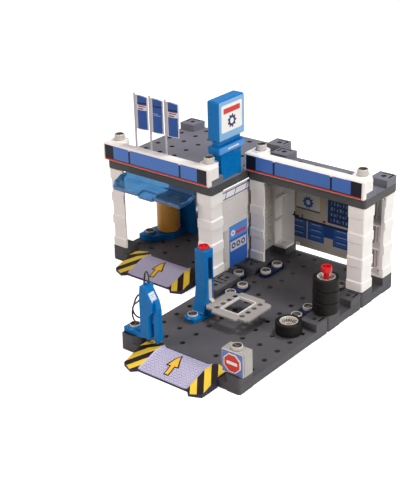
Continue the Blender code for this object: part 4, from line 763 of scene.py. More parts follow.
def screw_shape(shaft, height):
    """Toy screw, underside of its head at z = 0: a cup with two crossed ribs in it, for the big toy driver."""
    depth = 0.8 * height
    solid = turned(cup(HEAD_RADIUS, height, 1.7 * MM, depth, SHAFT_RADIUS, shaft), 32)
    reach = HEAD_RADIUS - 1.5 * MM
    for turn in range(2):
        rib = box((-0.9 * MM, -reach, height - depth - 0.3 * MM), (0.9 * MM, reach, height - 0.45 * depth))
        solid = united(solid, rotated(rib, turn * math.pi / 2))
    piece = softened(as_object("screw_shape", solid), 0.12 * MM)
    # Faces down in the cup are marked sunk, to take the darker grey of painted shade
    sunk = piece.data.attributes.new("sunk", "BOOLEAN", "FACE")
    for face, mark in zip(piece.data.polygons, sunk.data):
        near = face.center.to_2d().length < HEAD_RADIUS - 1.9 * MM
        mark.value = near and height - depth - 0.1 * MM < face.center.z < height - 0.2 * depth
    return piece


def screw_saucer(foot_top, drop=0.0):
    """Raised collar of a foot round its screw, with a sloped outside, about the screw's axis."""
    low, high = foot_top - 0.6 * MM - drop, foot_top + 3.4 * MM
    inner, rim, outer = HEAD_RADIUS + 0.6 * MM, HEAD_RADIUS + 2.0 * MM, HEAD_RADIUS + 4.2 * MM
    return turned([(inner, low), (outer, low), (outer, foot_top + 0.4 * MM), (rim, high), (inner, high)], 40, ring=True)


def screws():
    """All the grey toy screws: long ones through the fascias, short ones in connectors and fixings."""
    step = PITCH / 2
    roof_z = STOREY_HEIGHT + 36.2 * MM + GAP
    long_places = [cell(-8, 6, roof_z), cell(-2, 6, roof_z), cell(-1, 9, roof_z), cell(5, 9, roof_z)]
    short_places = [cell(-8, 8, 10 * MM + GAP), cell(0, 2, 6.6 * MM + GAP), cell(-1, -1, 21.4 * MM + 2 * GAP),
                    cell(5, -1, 51.1 * MM + 2 * GAP)]
    for column, row in CONNECTOR_CELLS[:-1]:
        for side in (-1, 1):
            short_places.append(cell(column, row, 5.3 * MM) + Vector((0, side * step, 0)))
    column, row = CONNECTOR_CELLS[-1]
    for side in (-1, 1):
        short_places.append(cell(column, row, 5.3 * MM) + Vector((side * step, 0, 0)))
    for name, places, shaft, height, nodes in (
            ("roof_screws", long_places, 30 * MM, 10.2 * MM, ("wash_roof_screw_left", "wash_roof_screw_right",
                                                   "bay_roof_screw_left", "bay_roof_screw_right")),
            ("floor_screws", short_places, 12 * MM, 5.4 * MM, ("stand_screw", "lift_foot_screw", "pump_screw",
                                                     "stop_sign_screw"))):
        points = bmesh.new()
        for place in places:
            points.verts.new(place)
        shape = screw_shape(shaft, height)
        # The screws' driver recesses take a darker grey, painted shade
        thing = grown(as_object(name, points), PLANTER, shape=shape, seed=7, finish=SCREW_ABS,
                      recess_finish=SCREW_RECESS_PAINTED_SHADE)
        discard(shape)
        finished(thing, None, body="base")
        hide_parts(*nodes)


CONNECTOR_CELLS = [(0, 5.5), (4, 5.5), (0, 8.5), (4, 8.5), (-1.5, 7)]


def connectors():
    """Navy clips over the seams between plates, hollow-looking from their chamfered rims."""
    end, start, wide, tip = 29.05 * MM, 20.05 * MM, 10.6 * MM, 6.5 * MM
    outline = [(tip, -end), (wide, -start), (wide, start), (tip, end), (-tip, end), (-wide, start), (-wide, -start),
               (-tip, -end)]
    thick = 5.3 * MM
    solid = prism(outline, 0, thick)
    for side in (-1, 1):
        dish = turned([(0, thick - 1.0 * MM), (9.3 * MM, thick - 1.0 * MM), (9.7 * MM, thick + 1 * MM),
                       (0, thick + 1 * MM)], 32)
        solid = cut(solid, moved(dish, (0, side * PITCH / 2, 0)))
    clip = softened(as_object("clip", solid), 0.9 * MM, 3)
    for number, place in enumerate(CONNECTOR_CELLS, 1):
        angle = math.pi / 2 if number == len(CONNECTOR_CELLS) else 0.0
        node = f"connector_{number}"
        finished(placed(node + "_clip", clip, cell(*place, GAP), angle), NAVY_ABS, node)
    discard(clip)


connectors()
screws()


# Printed cards


INKS = {}


def ink(value, gloss=0.32):
    """Screen ink on lacquered card: nearly flat colour with the card's fleck, under a thin gloss."""
    if value in INKS:
        return INKS[value]
    material, tree, shader, place = start_material("printed_card_" + value.lower())
    fleck = add(tree, "ShaderNodeTexNoise", {"Vector": place, "Scale": 900.0, "Detail": 2.0}).outputs["Fac"]
    rgb = Vector(colour(value)[:3])
    mixed = add(tree, "ShaderNodeMix", {0: fleck, 6: (*(rgb * 0.93), 1.0), 7: (*(rgb * 1.05), 1.0)},
                data_type="RGBA")
    tree.links.new(mixed.outputs[2], shader.inputs["Base Color"])
    bump = add(tree, "ShaderNodeBump", {"Height": fleck, "Distance": 0.02 * MM, "Strength": 0.3})
    tree.links.new(bump.outputs["Normal"], shader.inputs["Normal"])
    shader.inputs["Roughness"].default_value = gloss
    shader.inputs["Specular IOR Level"].default_value = 0.3
    INKS[value] = material
    return material


def bar(u0, v0, u1, v1):
    return [(u0, v0), (u1, v0), (u1, v1), (u0, v1)]


def disc(u, v, radius, steps=32):
    return [(u + radius * math.cos(2 * math.pi * k / steps), v + radius * math.sin(2 * math.pi * k / steps))
            for k in range(steps)]


def soft_bar(u0, v0, u1, v1, radius):
    """Bar with round corners."""
    half_u, half_v = (u1 - u0) / 2, (v1 - v0) / 2
    return [(u0 + half_u + u, v0 + half_v + v) for u, v in rounded_rectangle(half_u, half_v, radius, 4)]


def cog(u, v, radius, teeth):
    """Outline of a toothed wheel."""
    points = []
    for k in range(teeth):
        for share, reach in ((-0.30, 0.78), (-0.17, 1.0), (0.17, 1.0), (0.30, 0.78)):
            angle = 2 * math.pi * (k + share) / teeth
            points.append((u + reach * radius * math.cos(angle), v + reach * radius * math.sin(angle)))
    return points


def printed(name, body, origin, right, up, layers, backing=0.0):
    """Card of flat inks, each a thin body over the one before; layers holds (ink, outlines in mm from origin).

    A point (u, v) lies u along right and v along up, and the card's front looks along right x up.
    backing thickens the first layer backwards.
    """
    right, up = Vector(right), Vector(up)
    front = right.cross(up)
    solids = bmesh.new()
    mesh = bpy.data.meshes.new(name)
    for index, (value, outlines) in enumerate(layers):
        height = (0.10 + 0.035 * index) * MM
        for outline in outlines:
            shape = prism([(u * MM, v * MM) for u, v in outline], -0.05 * MM - (backing if index == 0 else 0), height)
            for vertex in shape.verts:
                u, v, w = vertex.co
                vertex.co = Vector(origin) + right * u + up * v + front * w
            bmesh.ops.recalc_face_normals(shape, faces=shape.faces)
            for face in shape.faces:
                face.material_index = index
            scratch = bpy.data.meshes.new("scratch")
            shape.to_mesh(scratch)
            shape.free()
            solids.from_mesh(scratch)
            bpy.data.meshes.remove(scratch)
        mesh.materials.append(ink(value))
    solids.to_mesh(mesh)
    solids.free()
    thing = bpy.data.objects.new(name, mesh)
    bpy.context.collection.objects.link(thing)
    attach(thing, body)
    return thing


# Fascias


def fascia_card(name, left, face_y, bottom, blue):
    """Card of a fascia: three blue panels between dark dividers, dark ends, a dark line and a red stripe."""
    width, height = 226.4, 27.6
    dark = "100E1C"
    posts = [(0, 20.0), (55.0, 58.8), (167.6, 171.4), (206.4, width)]
    layers = [("EFECE8", [bar(0, 0, width, height)]),
              ("D8432C", [bar(0, 0, width, 2.5)]),
              (dark, [bar(0, 2.5, width, 4.1)]),
              (blue, [bar(20.0, 4.1, 206.4, height)]),
              (dark, [bar(u0, 4.1, u1, height - (0 if u1 - u0 > 10 else 1.4)) for u0, u1 in posts]),
              ("EFECE8", [bar(u0 - 0.4, height - 1.5, u1 + 0.4, height) for u0, u1 in posts[1:3]])]
    printed(name, "base", (left, face_y, bottom), (1, 0, 0), (0, 0, 1), layers,
            backing=0.7 * MM)


def fascias():
    """White bars over the roofs' front edges, with their printed cards."""
    for node, blue in (("wash_fascia", "4E7BC8"), ("bay_fascia", "446FBA")):
        from_node(node + "_bar", node, 0.8 * MM, WHITE_ABS)
        low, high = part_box(node)
        middle = (low.x + high.x) / 2
        fascia_card(node + "_card", middle - 113.2 * MM, low.y, low.z + 1.6 * MM, blue)


fascias()


# Columns and walls


def columns():
    """Corner columns with their raised stones; the front ones are plain angles without ribs inside."""
    for node in sorted(frame["nodes"]):
        if "_column_" not in node:
            continue
        shape = solid_of(node)
        low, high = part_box(node)
        if "_front_" in node:
            wall = 4.4 * MM
            step = wall if node.endswith("_left") else -wall
            shape = cut(shape, box((low.x + step, low.y + wall, low.z - wall),
                                   (high.x + step, high.y + wall, high.z + wall)))
        elif node == "bay_column_back_left":
            shape = cut(shape, box((high.x - CARD_LAP, low.y - MM, low.z + 4.2 * MM),
                                   (high.x + MM, high.y - 4.0 * MM, high.z - 4.2 * MM)))
        piece = softened(as_object(node + "_moulding", shape), 0.45 * MM)
        piece.data.materials.clear()
        finished(piece, WHITE_ABS, node)


CARD_LAP = 18.5 * MM
columns()


# Walls


def siding_finish():
    """Matt white ABS boards, greyer than the other white parts as painted shade; each board's lower lip gets a fine
    grey line, painted shade under the lip, pressed in by a bump.
    """
    material, tree, shader, place = start_material("moulded_abs_board_white")
    height = add(tree, "ShaderNodeSeparateXYZ", {0: place}).outputs["Z"]
    boards = add(tree, "ShaderNodeMath", {0: height, 1: BOARD_HEIGHT}, operation="DIVIDE").outputs[0]
    board_share = add(tree, "ShaderNodeMath", {0: boards}, operation="FRACT").outputs[0]
    line = add(tree, "ShaderNodeMath", {0: board_share, 1: 0.075}, operation="LESS_THAN").outputs[0]
    cloud = add(tree, "ShaderNodeTexNoise", {"Vector": place, "Scale": 30.0, "Detail": 3.0}).outputs["Fac"]
    # The boards' greyer white is painted shade on the wall
    white = add(tree, "ShaderNodeMix", {0: cloud, 6: colour("DFD9D7"), 7: colour("D5CFCD")}, data_type="RGBA")
    # The grey line at each board's foot is painted shade under the lip
    lip_shade_lined = add(tree, "ShaderNodeMix", {0: line, 6: white.outputs[2], 7: colour("B9B4B8")}, data_type="RGBA")
    tree.links.new(lip_shade_lined.outputs[2], shader.inputs["Base Color"])
    shader.inputs["Roughness"].default_value = 0.45
    bump = add(tree, "ShaderNodeBump", {"Height": line, "Distance": 0.25 * MM, "Strength": 0.8}, invert=True)
    tree.links.new(bump.outputs["Normal"], shader.inputs["Normal"])
    return material


def brick_finish():
    """Grey ABS brick wall: small running bricks with sunk joints, each brick a little lighter or darker."""
    material, tree, shader, place = start_material("moulded_abs_small_bricks")
    turned_place = add(tree, "ShaderNodeMapping", {"Vector": place, "Rotation": (0, -math.pi / 2, -math.pi / 2)})
    bricks = add(tree, "ShaderNodeTexBrick", {
        "Vector": turned_place.outputs[0], "Color1": colour("E6E1D8"), "Color2": colour("D6D0C6"),
        "Mortar": colour("B0AAA2"), "Scale": 1.0, "Mortar Size": 0.45 * MM, "Mortar Smooth": 0.3,
        "Brick Width": 10.0 * MM, "Row Height": 4.4 * MM})
    tree.links.new(bricks.outputs["Color"], shader.inputs["Base Color"])
    shader.inputs["Roughness"].default_value = 0.55
    bump = add(tree, "ShaderNodeBump", {"Height": bricks.outputs["Fac"], "Distance": 0.3 * MM, "Strength": 0.9},
               invert=True)
    tree.links.new(bump.outputs["Normal"], shader.inputs["Normal"])
    return material


BOARD_HEIGHT = 4.9 * MM
SIDING_ABS_PAINTED_SHADE = siding_finish()
BRICK_WALL_ABS = brick_finish()


def wash_wall_cards():
    """Roof-truss band and workshop panel on the wash's right wall."""
    low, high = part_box("wash_wall_right")
    face = high.x
    band_low = high.z - 1.2 * MM - 14.6 * MM
    navy, pale = "2E3F8F", "ECE8EA"
    marks = []
    for start in (4.5, 30.0, 62.0):
        marks.append([(start, 2.2), (start + 1.8, 2.2), (start + 6.2, 12.4), (start + 4.4, 12.4)])
    layers = [(pale, [bar(0, 0, 74.4, 14.4)]), (navy, [bar(0, 0.4, 74.4, 2.2), bar(0, 12.4, 74.4, 14.2)] + marks)]
    printed("wash_truss_card", "base", (face, low.y + 0.3 * MM, band_low + 0.1 * MM), (0, 1, 0), (0, 0, 1), layers)
    blue, light = "2F62B8", "5C8FD6"
    tyres, hubs, rubber = [], [], "2A2730"
    for step in range(3):
        tyres.append(disc(12.8 + 13.6 * step, 37.8, 5.2))
        hubs.append(disc(12.8 + 13.6 * step, 37.8, 2.6))
    layers = [("DAD9E4", [bar(0, 0, 53.1, 77.6)]),
              (blue, [bar(1.0, 0, 52.1, 76.6)]),
              (light, [bar(1.0, 51.0, 52.1, 76.6)]),
              ("C4C6DC", [bar(4.0, 29.0, 49.1, 47.0)]),
              (rubber, tyres),
              ("D6D4DC", hubs),
              ("D8343A", [soft_bar(20.0, 57.6, 47.5, 62.4, 1.2)]),
              ("E9EAF4", [cog(11.5, 62.0, 6.2, 8)]),
              (light, [disc(11.5, 62.0, 2.2)])]
    printed("wash_panel_card", "base", (face, low.y + 14.0 * MM, low.z + 0.4 * MM), (0, 1, 0), (0, 0, 1), layers)


def bay_wall_card():
    """Workshop scene on the bay's back wall: boards, a bench with drawers, a tool board and a sign.

    The card laps over the left column's hollow.
    """
    low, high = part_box("bay_wall_back")
    low.x -= CARD_LAP
    width = (high.x - low.x) / MM
    height = (high.z - low.z) / MM
    board_lines = [bar(0, v, width, v + 0.5) for v in range(6, int(height) - 2, 6)]
    dark_blue, cabinet, trim, counter = "142B55", "1A3D7A", "2A5498", "1F1917"
    bench_low, bench_high = 17.0, 52.0
    cabinets = [(10, 44), (47, 81), (100, 134), (137, 160)]
    fronts = [bar(u0, bench_low, u1, bench_high) for u0, u1 in cabinets]
    drawers, handles = [], []
    for u0, u1 in cabinets:
        for step in range(3):
            v = bench_low + 2.2 + 11.2 * step
            drawers.append(bar(u0 + 1.6, v, u1 - 1.6, v + 9.4))
            handles.append(bar(u0 + 7.0, v + 6.4, u1 - 7.0, v + 7.6))
    tools = []
    for row in range(5):
        for place in range(7):
            u = 94.5 + 6.0 * place
            v = 64.0 + 10.4 * row
            tools.append(bar(u, v, u + 1.5 + (place + row) % 3, v + 4.5 + (place * 2 + row) % 3))
    sign = bar(20, 70, 74, 122)
    # The card's inks are darkened to paint the shade under the bay's roof
    layers = [("A39D98", [bar(0, 0, width, height)]),
              ("837F80", board_lines),
              (cabinet, fronts + [bar(81, 30.0, 100, bench_high)]),
              (trim, drawers),
              (counter, [bar(6, bench_high, 166, bench_high + 3.4)]),
              ("9EA4B4", handles),
              (dark_blue, [bar(88, 60.0, 142, 118.0)]),
              ("6480AE", tools),
              ("B59A4E", [sign]),
              ("BDB9B2", [bar(22.5, 72.5, 71.5, 119.5)]),
              ("244A88", [cog(47, 88.0, 11.5, 10), bar(22.5, 72.5, 71.5, 75.5)]),
              ("BDB9B2", [disc(47, 88.0, 4.6)]),
              ("A83026", [soft_bar(29, 108.5, 65, 114.5, 1.6), soft_bar(78, 56.6, 84, 61.5, 1.0)]),
              (counter, [bar(14, 55.4, 28, 58.2), bar(17, 58.2, 20, 63.5), bar(34, 55.4, 36, 62.0)])]
    printed("bay_workshop_card", "base", (low.x, high.y - 2.2 * MM, low.z), (1, 0, 0), (0, 0, 1),
            layers)


def walls():
    from_node("wash_wall_right_boards", "wash_wall_right", 0, SIDING_ABS_PAINTED_SHADE)
    from_node("bay_wall_left_bricks", "bay_wall_left", 0, BRICK_WALL_ABS)
    from_node("bay_wall_back_sheet", "bay_wall_back", 0.2 * MM, WHITE_ABS)
    wash_wall_cards()
    bay_wall_card()


walls()


# Ramps


RAMP_WIDTH = 152.7 * MM
RAMP_REACH = 45.5 * MM
RAMP_LANDING = 29.2 * MM
RAMP_BROW = 3.3 * MM
RAMP_TOP = 3.3 * MM
RAMP_TOE_TOP = 4.0 * MM - PLATE_DEPTH
RAMP_WING = 28.2 * MM
RAMP_PLACES = (("ramp_front", cell(2, -1.5)), ("ramp_wash", cell(-5, 5.5)))


def ramp_print(name, place_of_ramp):
    """Lacquered card on a ramp: violet in the middle, hazard stripes of 10 mm on both wings."""
    material, tree, shader, place = start_material(name)
    local = add(tree, "ShaderNodeMapping", {"Vector": place, "Location": -place_of_ramp}, vector_type="POINT")
    split = add(tree, "ShaderNodeSeparateXYZ", {0: local.outputs[0]})
    side = add(tree, "ShaderNodeMath", {0: split.outputs["X"]}, operation="ABSOLUTE").outputs[0]
    lean = add(tree, "ShaderNodeMath", {0: split.outputs["Y"], 1: 0.75}, operation="MULTIPLY").outputs[0]
    along = add(tree, "ShaderNodeMath", {0: side, 1: lean}, operation="ADD").outputs[0]
    turns = add(tree, "ShaderNodeMath", {0: along, 1: 25.5 * MM}, operation="DIVIDE").outputs[0]
    share = add(tree, "ShaderNodeMath", {0: turns}, operation="FRACT").outputs[0]
    dark = add(tree, "ShaderNodeMath", {0: share, 1: 0.5}, operation="GREATER_THAN").outputs[0]
    stripes = add(tree, "ShaderNodeMix", {0: dark, 6: colour("EAC941"), 7: colour("21160F")}, data_type="RGBA")
    cloud = add(tree, "ShaderNodeTexNoise", {"Vector": place, "Scale": 24.0, "Detail": 2.0}).outputs["Fac"]
    violet = add(tree, "ShaderNodeMix", {0: cloud, 6: colour("ACA8C6"), 7: colour("C6C2DA")}, data_type="RGBA")
    wing = add(tree, "ShaderNodeMath", {0: side, 1: RAMP_WIDTH / 2 - RAMP_WING}, operation="GREATER_THAN").outputs[0]
    mixed = add(tree, "ShaderNodeMix", {0: wing, 6: violet.outputs[2], 7: stripes.outputs[2]}, data_type="RGBA")
    tree.links.new(mixed.outputs[2], shader.inputs["Base Color"])
    shader.inputs["Roughness"].default_value = 0.34
    shader.inputs["Specular IOR Level"].default_value = 0.3
    return material


def ramp_sink(x, y):
    """Depth of a ramp's middle panel below its wings, at x from its middle and y from the plate's edge."""
    share = min(max((RAMP_WIDTH / 2 - RAMP_WING + 2 * MM - abs(x)) / (9 * MM), 0.0), 1.0)
    toeward = min(max((RAMP_BROW - y) / RAMP_REACH, 0.0), 1.0)
    return (1.5 + 1.3 * toeward) * MM * share * share * (3 - 2 * share)


def ramp_moulding(node, place):
    """Ramp from the solid, its middle panel sunk between the wings with soft slopes."""
    shape = solid_of(node)
    edge = RAMP_WIDTH / 2 - RAMP_WING + 2 * MM
    for step in range(6):
        for side in (-1, 1):
            x = place.x + side * (edge - 9 * MM * step / 5)
            bmesh.ops.bisect_plane(shape, geom=list(shape.verts) + list(shape.edges) + list(shape.faces),
                                   plane_co=(x, 0, 0), plane_no=(1, 0, 0))
    for vertex in shape.verts:
        x, y, z = vertex.co - place
        if z > ramp_height(y) - 0.3 * MM:
            vertex.co.z -= ramp_sink(x, y)
    thing = softened(as_object(node + "_moulding", shape), 0.5 * MM)
    thing.data.materials.clear()
    return finished(thing, RAMP_VIOLET_PAINTED_SHADE, node)


def ramp_height(y):
    """Top of a ramp's wings at y from the plate's edge."""
    if y >= RAMP_BROW:
        return RAMP_TOP
    return RAMP_TOP + (RAMP_TOE_TOP - RAMP_TOP) * (RAMP_BROW - y) / (RAMP_BROW + RAMP_REACH)


def draped(outline, thickness):
    """Thin body over a ramp's top, folded at its brow; the outline is in mm from the middle of its edge."""
    solid = bmesh.new()
    face = solid.faces.new([solid.verts.new((x * MM, y * MM, 0)) for x, y in outline])
    bmesh.ops.bisect_plane(solid, geom=list(solid.verts) + list(solid.edges) + [face],
                           plane_co=(0, RAMP_BROW, 0), plane_no=(0, 1, 0))
    made = bmesh.ops.extrude_face_region(solid, geom=list(solid.faces))
    lifted = {item for item in made["geom"] if isinstance(item, bmesh.types.BMVert)}
    for vertex in solid.verts:
        top = ramp_height(vertex.co.y) - ramp_sink(vertex.co.x, vertex.co.y)
        vertex.co.z = top + (thickness if vertex in lifted else -0.05 * MM)
    bmesh.ops.recalc_face_normals(solid, faces=solid.faces)
    return solid


def tread_maker():
    """Node tree of raised tread marks: a staggered grid of lozenges, each row turned the other way.

    Width and Depth are the field's sides, Step the spacing, Length and Girth the lozenge, Finish its material.
    """
    tree = bpy.data.node_groups.new("tread_marks", "GeometryNodeTree")
    faces = tree.interface
    faces.new_socket(name="Geometry", in_out="INPUT", socket_type="NodeSocketGeometry")
    for name, value in (("Width", 88 * MM), ("Depth", 52 * MM), ("Step", 4.4 * MM), ("Length", 4.3 * MM),
                        ("Girth", 1.0 * MM), ("Thickness", 0.30 * MM)):
        faces.new_socket(name=name, in_out="INPUT", socket_type="NodeSocketFloat").default_value = value
    faces.new_socket(name="Finish", in_out="INPUT", socket_type="NodeSocketMaterial")
    faces.new_socket(name="Geometry", in_out="OUTPUT", socket_type="NodeSocketGeometry")
    given = tree.nodes.new("NodeGroupInput").outputs
    mark = add(tree, "GeometryNodeMeshCylinder", {"Vertices": 4, "Radius": 0.5, "Depth": 1.0}).outputs["Mesh"]
    size = add(tree, "ShaderNodeCombineXYZ", {0: given["Length"], 1: given["Girth"], 2: given["Thickness"]}).outputs[0]
    shaped = add(tree, "GeometryNodeTransform", {"Geometry": mark, "Scale": size}).outputs[0]
    counts = []
    for span in ("Width", "Depth"):
        ratio = add(tree, "ShaderNodeMath", {0: given[span], 1: given["Step"]}, operation="DIVIDE").outputs[0]
        counts.append(add(tree, "ShaderNodeMath", {0: ratio, 1: 1.0}, operation="ADD").outputs[0])
    grid = add(tree, "GeometryNodeMeshGrid", {"Size X": given["Width"], "Size Y": given["Depth"],
                                              "Vertices X": counts[0], "Vertices Y": counts[1]})
    points = add(tree, "GeometryNodeMeshToPoints", {"Mesh": grid.outputs["Mesh"]}).outputs[0]
    index = add(tree, "GeometryNodeInputIndex").outputs[0]
    odd = add(tree, "ShaderNodeMath", {0: index, 1: 2.0}, operation="MODULO").outputs[0]
    turn = add(tree, "ShaderNodeMapRange", {"Value": odd, "To Min": math.radians(38), "To Max": math.radians(-52)})
    angles = add(tree, "ShaderNodeCombineXYZ", {2: turn.outputs["Result"]}).outputs[0]
    spread = add(tree, "GeometryNodeInstanceOnPoints", {"Points": points, "Instance": shaped, "Rotation": angles})
    real = add(tree, "GeometryNodeRealizeInstances", {"Geometry": spread.outputs[0]}).outputs[0]
    dressed = add(tree, "GeometryNodeSetMaterial", {"Geometry": real, "Material": given["Finish"]}).outputs[0]
    add(tree, "NodeGroupOutput", {"Geometry": dressed})
    return tree


def arrow(tail_x, tail_y, tip_x, tip_y, grow):
    """Outline of a broad arrow from tail to tip in mm, grown all round."""
    along = Vector((tip_x - tail_x, tip_y - tail_y))
    length = along.length
    along /= length
    across = Vector((along.y, -along.x))
    neck = length * 0.44
    sides = [(-grow, 3.0 + grow), (neck - grow, 3.0 + grow), (neck - grow, 8.6 + 1.9 * grow)]
    points = sides + [(length + 2.6 * grow, 0)] + [(s, -w) for s, w in sides[::-1]]
    tail = Vector((tail_x, tail_y))
    return [tuple(tail + along * s + across * w) for s, w in points]


def ramps():
    """Both ramps with their striped cards, tread marks and arrows."""
    tread = tread_maker()
    mark_ink = ink("6E688F")
    for node, place in RAMP_PLACES:
        thing = ramp_moulding(node, place)
        thing.data.materials.append(ramp_print(node + "_card_stripes", place))
        # Only the top faces take the card; the sides keep the dark violet of painted shade
        for face in thing.data.polygons:
            if face.normal.z > 0.85:
                face.material_index = 1
        seed = as_object(node + "_tread", bmesh.new())
        marks = grown(seed, tread, width=88 * MM, depth=61.6 * MM, finish=mark_ink)
        for vertex in marks.data.vertices:
            x, y, z = vertex.co + Vector((0, -5.2 * MM, 0))
            vertex.co = place + Vector((x, y, ramp_height(y) - ramp_sink(x, y) + z))
        finished(marks, mark_ink, body="base")
        for name, grow, value, thick in (("arrow_edge", 1.8, "1E1614", 0.22), ("arrow", 0.0, "EDBE3C", 0.30)):
            shape = draped(arrow(-1.0, -26.5, -4.0, 12.5, grow), thick * MM)
            shown = as_object(f"{node}_{name}", moved(shape, place))
            finished(shown, ink(value), body="base")


ramps()


# Stop sign and sign tower


# The sign's box is a greyer ABS than the screws, with the same dull gloss
SIGN_ABS = moulded("moulded_abs_sign_grey", "AEABA6", "A09D99", 0.34, 0.8 * MM, 0.05 * MM, shine=0.5)


def stop_sign():
    """Silver-grey box with a blue card in a pale border, a red octagon with a white rim and a plain white bar."""
    box_low, box_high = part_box("stop_sign_box")
    from_node("stop_sign_box_moulding", "stop_sign_box", 0.6 * MM, SIGN_ABS)
    width, height = (box_high.x - box_low.x) / MM, (box_high.z - box_low.z) / MM
    layers = [("E9E7E4", [soft_bar(0.3, 0.3, width - 0.3, height - 0.3, 0.6)]),
              ("6C7FC0", [soft_bar(0.7, 0.7, width - 1.7, height - 1.9, 0.8)])]
    printed("stop_sign_card_blue", "base", tuple(box_low), (1, 0, 0), (0, 0, 1), layers)
    low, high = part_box("stop_sign_plate")
    centre = (low + high) / 2
    plate = from_node("stop_sign_plate_octagon", "stop_sign_plate", 0.3 * MM, ink("EBE8E4"))
    red = [(math.cos(math.pi / 8 + k * math.pi / 4) * 14.8, math.sin(math.pi / 8 + k * math.pi / 4) * 14.8)
           for k in range(8)]
    edge = [(u * 1.11, v * 1.11) for u, v in red]
    layers = [("F2EFEC", [edge]), ("D0392F", [red]), ("F2EFEC", [soft_bar(-9.6, -2.6, 9.6, 2.6, 0.8)])]
    printed("stop_sign_card", "base", (centre.x, low.y, centre.z), (1, 0, 0), (0, 0, 1), layers)
    return box_low, box_high, plate


def sign_tower():
    """Blue sign on the wash roof: a white card with a toothed wheel and bars, and a pale band on its collar."""
    from_node("sign_base_moulding", "sign_base", 0.9 * MM, BLUE_ABS)
    from_node("sign_box_moulding", "sign_box", 1.4 * MM, BLUE_ABS)
    low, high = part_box("sign_box")
    width, height = (high.y - low.y) / MM, (high.z - low.z) / MM
    layers = [("84B4DE", [soft_bar(2.0, 2.0, width - 2.0, height - 2.0, 1.6)]),
              ("F3F1EE", [soft_bar(8.0, 14.0, width - 8.0, height - 9.0, 3.0)]),
              ("D2382E", [soft_bar(13.5, height - 24.0, width - 13.5, height - 15.0, 1.4)]),
              ("1F2F66", [cog(width / 2, 30.5, 11.6, 9)]),
              ("F3F1EE", [disc(width / 2, 30.5, 4.8)])]
    printed("sign_box_card", "base", (high.x, low.y, low.z), (0, 1, 0), (0, 0, 1), layers)
    printed("sign_box_card_back", "base", (low.x, high.y, low.z), (0, -1, 0), (0, 0, 1), layers)
    collar_low, collar_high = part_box("sign_base")
    width = (collar_high.y - collar_low.y) / MM
    layers = [("5E97D8", [soft_bar(1.8, 1.4, width - 1.8, 11.9, 1.0)]),
              ("EDF1F8", [soft_bar(24.0, 5.4, width - 18.0, 7.6, 0.6)])]
    printed("sign_collar_card", "base", (collar_high.x, collar_low.y, collar_low.z + 45.5 * MM - GAP), (0, 1, 0),
            (0, 0, 1), layers)


stop_sign()
sign_tower()


# Wheels


WHEEL_RADIUS = 21.4 * MM
WHEEL_WIDTH = 20.2 * MM
RIM_RADIUS = 14.6 * MM
RIM_BORE = 5.1 * MM


def rubber_finish():
    """Tyre rubber: near-black and dull, with a fine skin and paler dust rubbed on in patches."""
    material, tree, shader, place = start_material("tyre_rubber_black")
    dust = add(tree, "ShaderNodeTexNoise", {"Vector": place, "Scale": 55.0, "Detail": 6.0, "Roughness": 0.6})
    spread = add(tree, "ShaderNodeMapRange", {"Value": dust.outputs["Fac"], "From Min": 0.45, "From Max": 0.75})
    mixed = add(tree, "ShaderNodeMix", {0: spread.outputs["Result"], 6: colour("100F0E"), 7: colour("1D1B19")},
                data_type="RGBA")
    tree.links.new(mixed.outputs[2], shader.inputs["Base Color"])
    tree.links.new(add(tree, "ShaderNodeMapRange", {"Value": dust.outputs["Fac"], "To Min": 0.42, "To Max": 0.66}
                       ).outputs["Result"], shader.inputs["Roughness"])
    shader.inputs["Specular IOR Level"].default_value = 0.2
    skin = add(tree, "ShaderNodeTexNoise", {"Vector": place, "Scale": 1500.0}).outputs["Fac"]
    bump = add(tree, "ShaderNodeBump", {"Height": skin, "Distance": 0.05 * MM, "Strength": 0.5})
    tree.links.new(bump.outputs["Normal"], shader.inputs["Normal"])
    return material


RUBBER = rubber_finish()
# The bowl between the fins is left rough, and its dark grey is painted shade between the fins, so the bright fins stand
# out from it
BOWL_PAINTED_SHADE = moulded("moulded_abs_wheel_bowl", "34312F", "292624", 0.60, 0.9 * MM, 0.06 * MM)


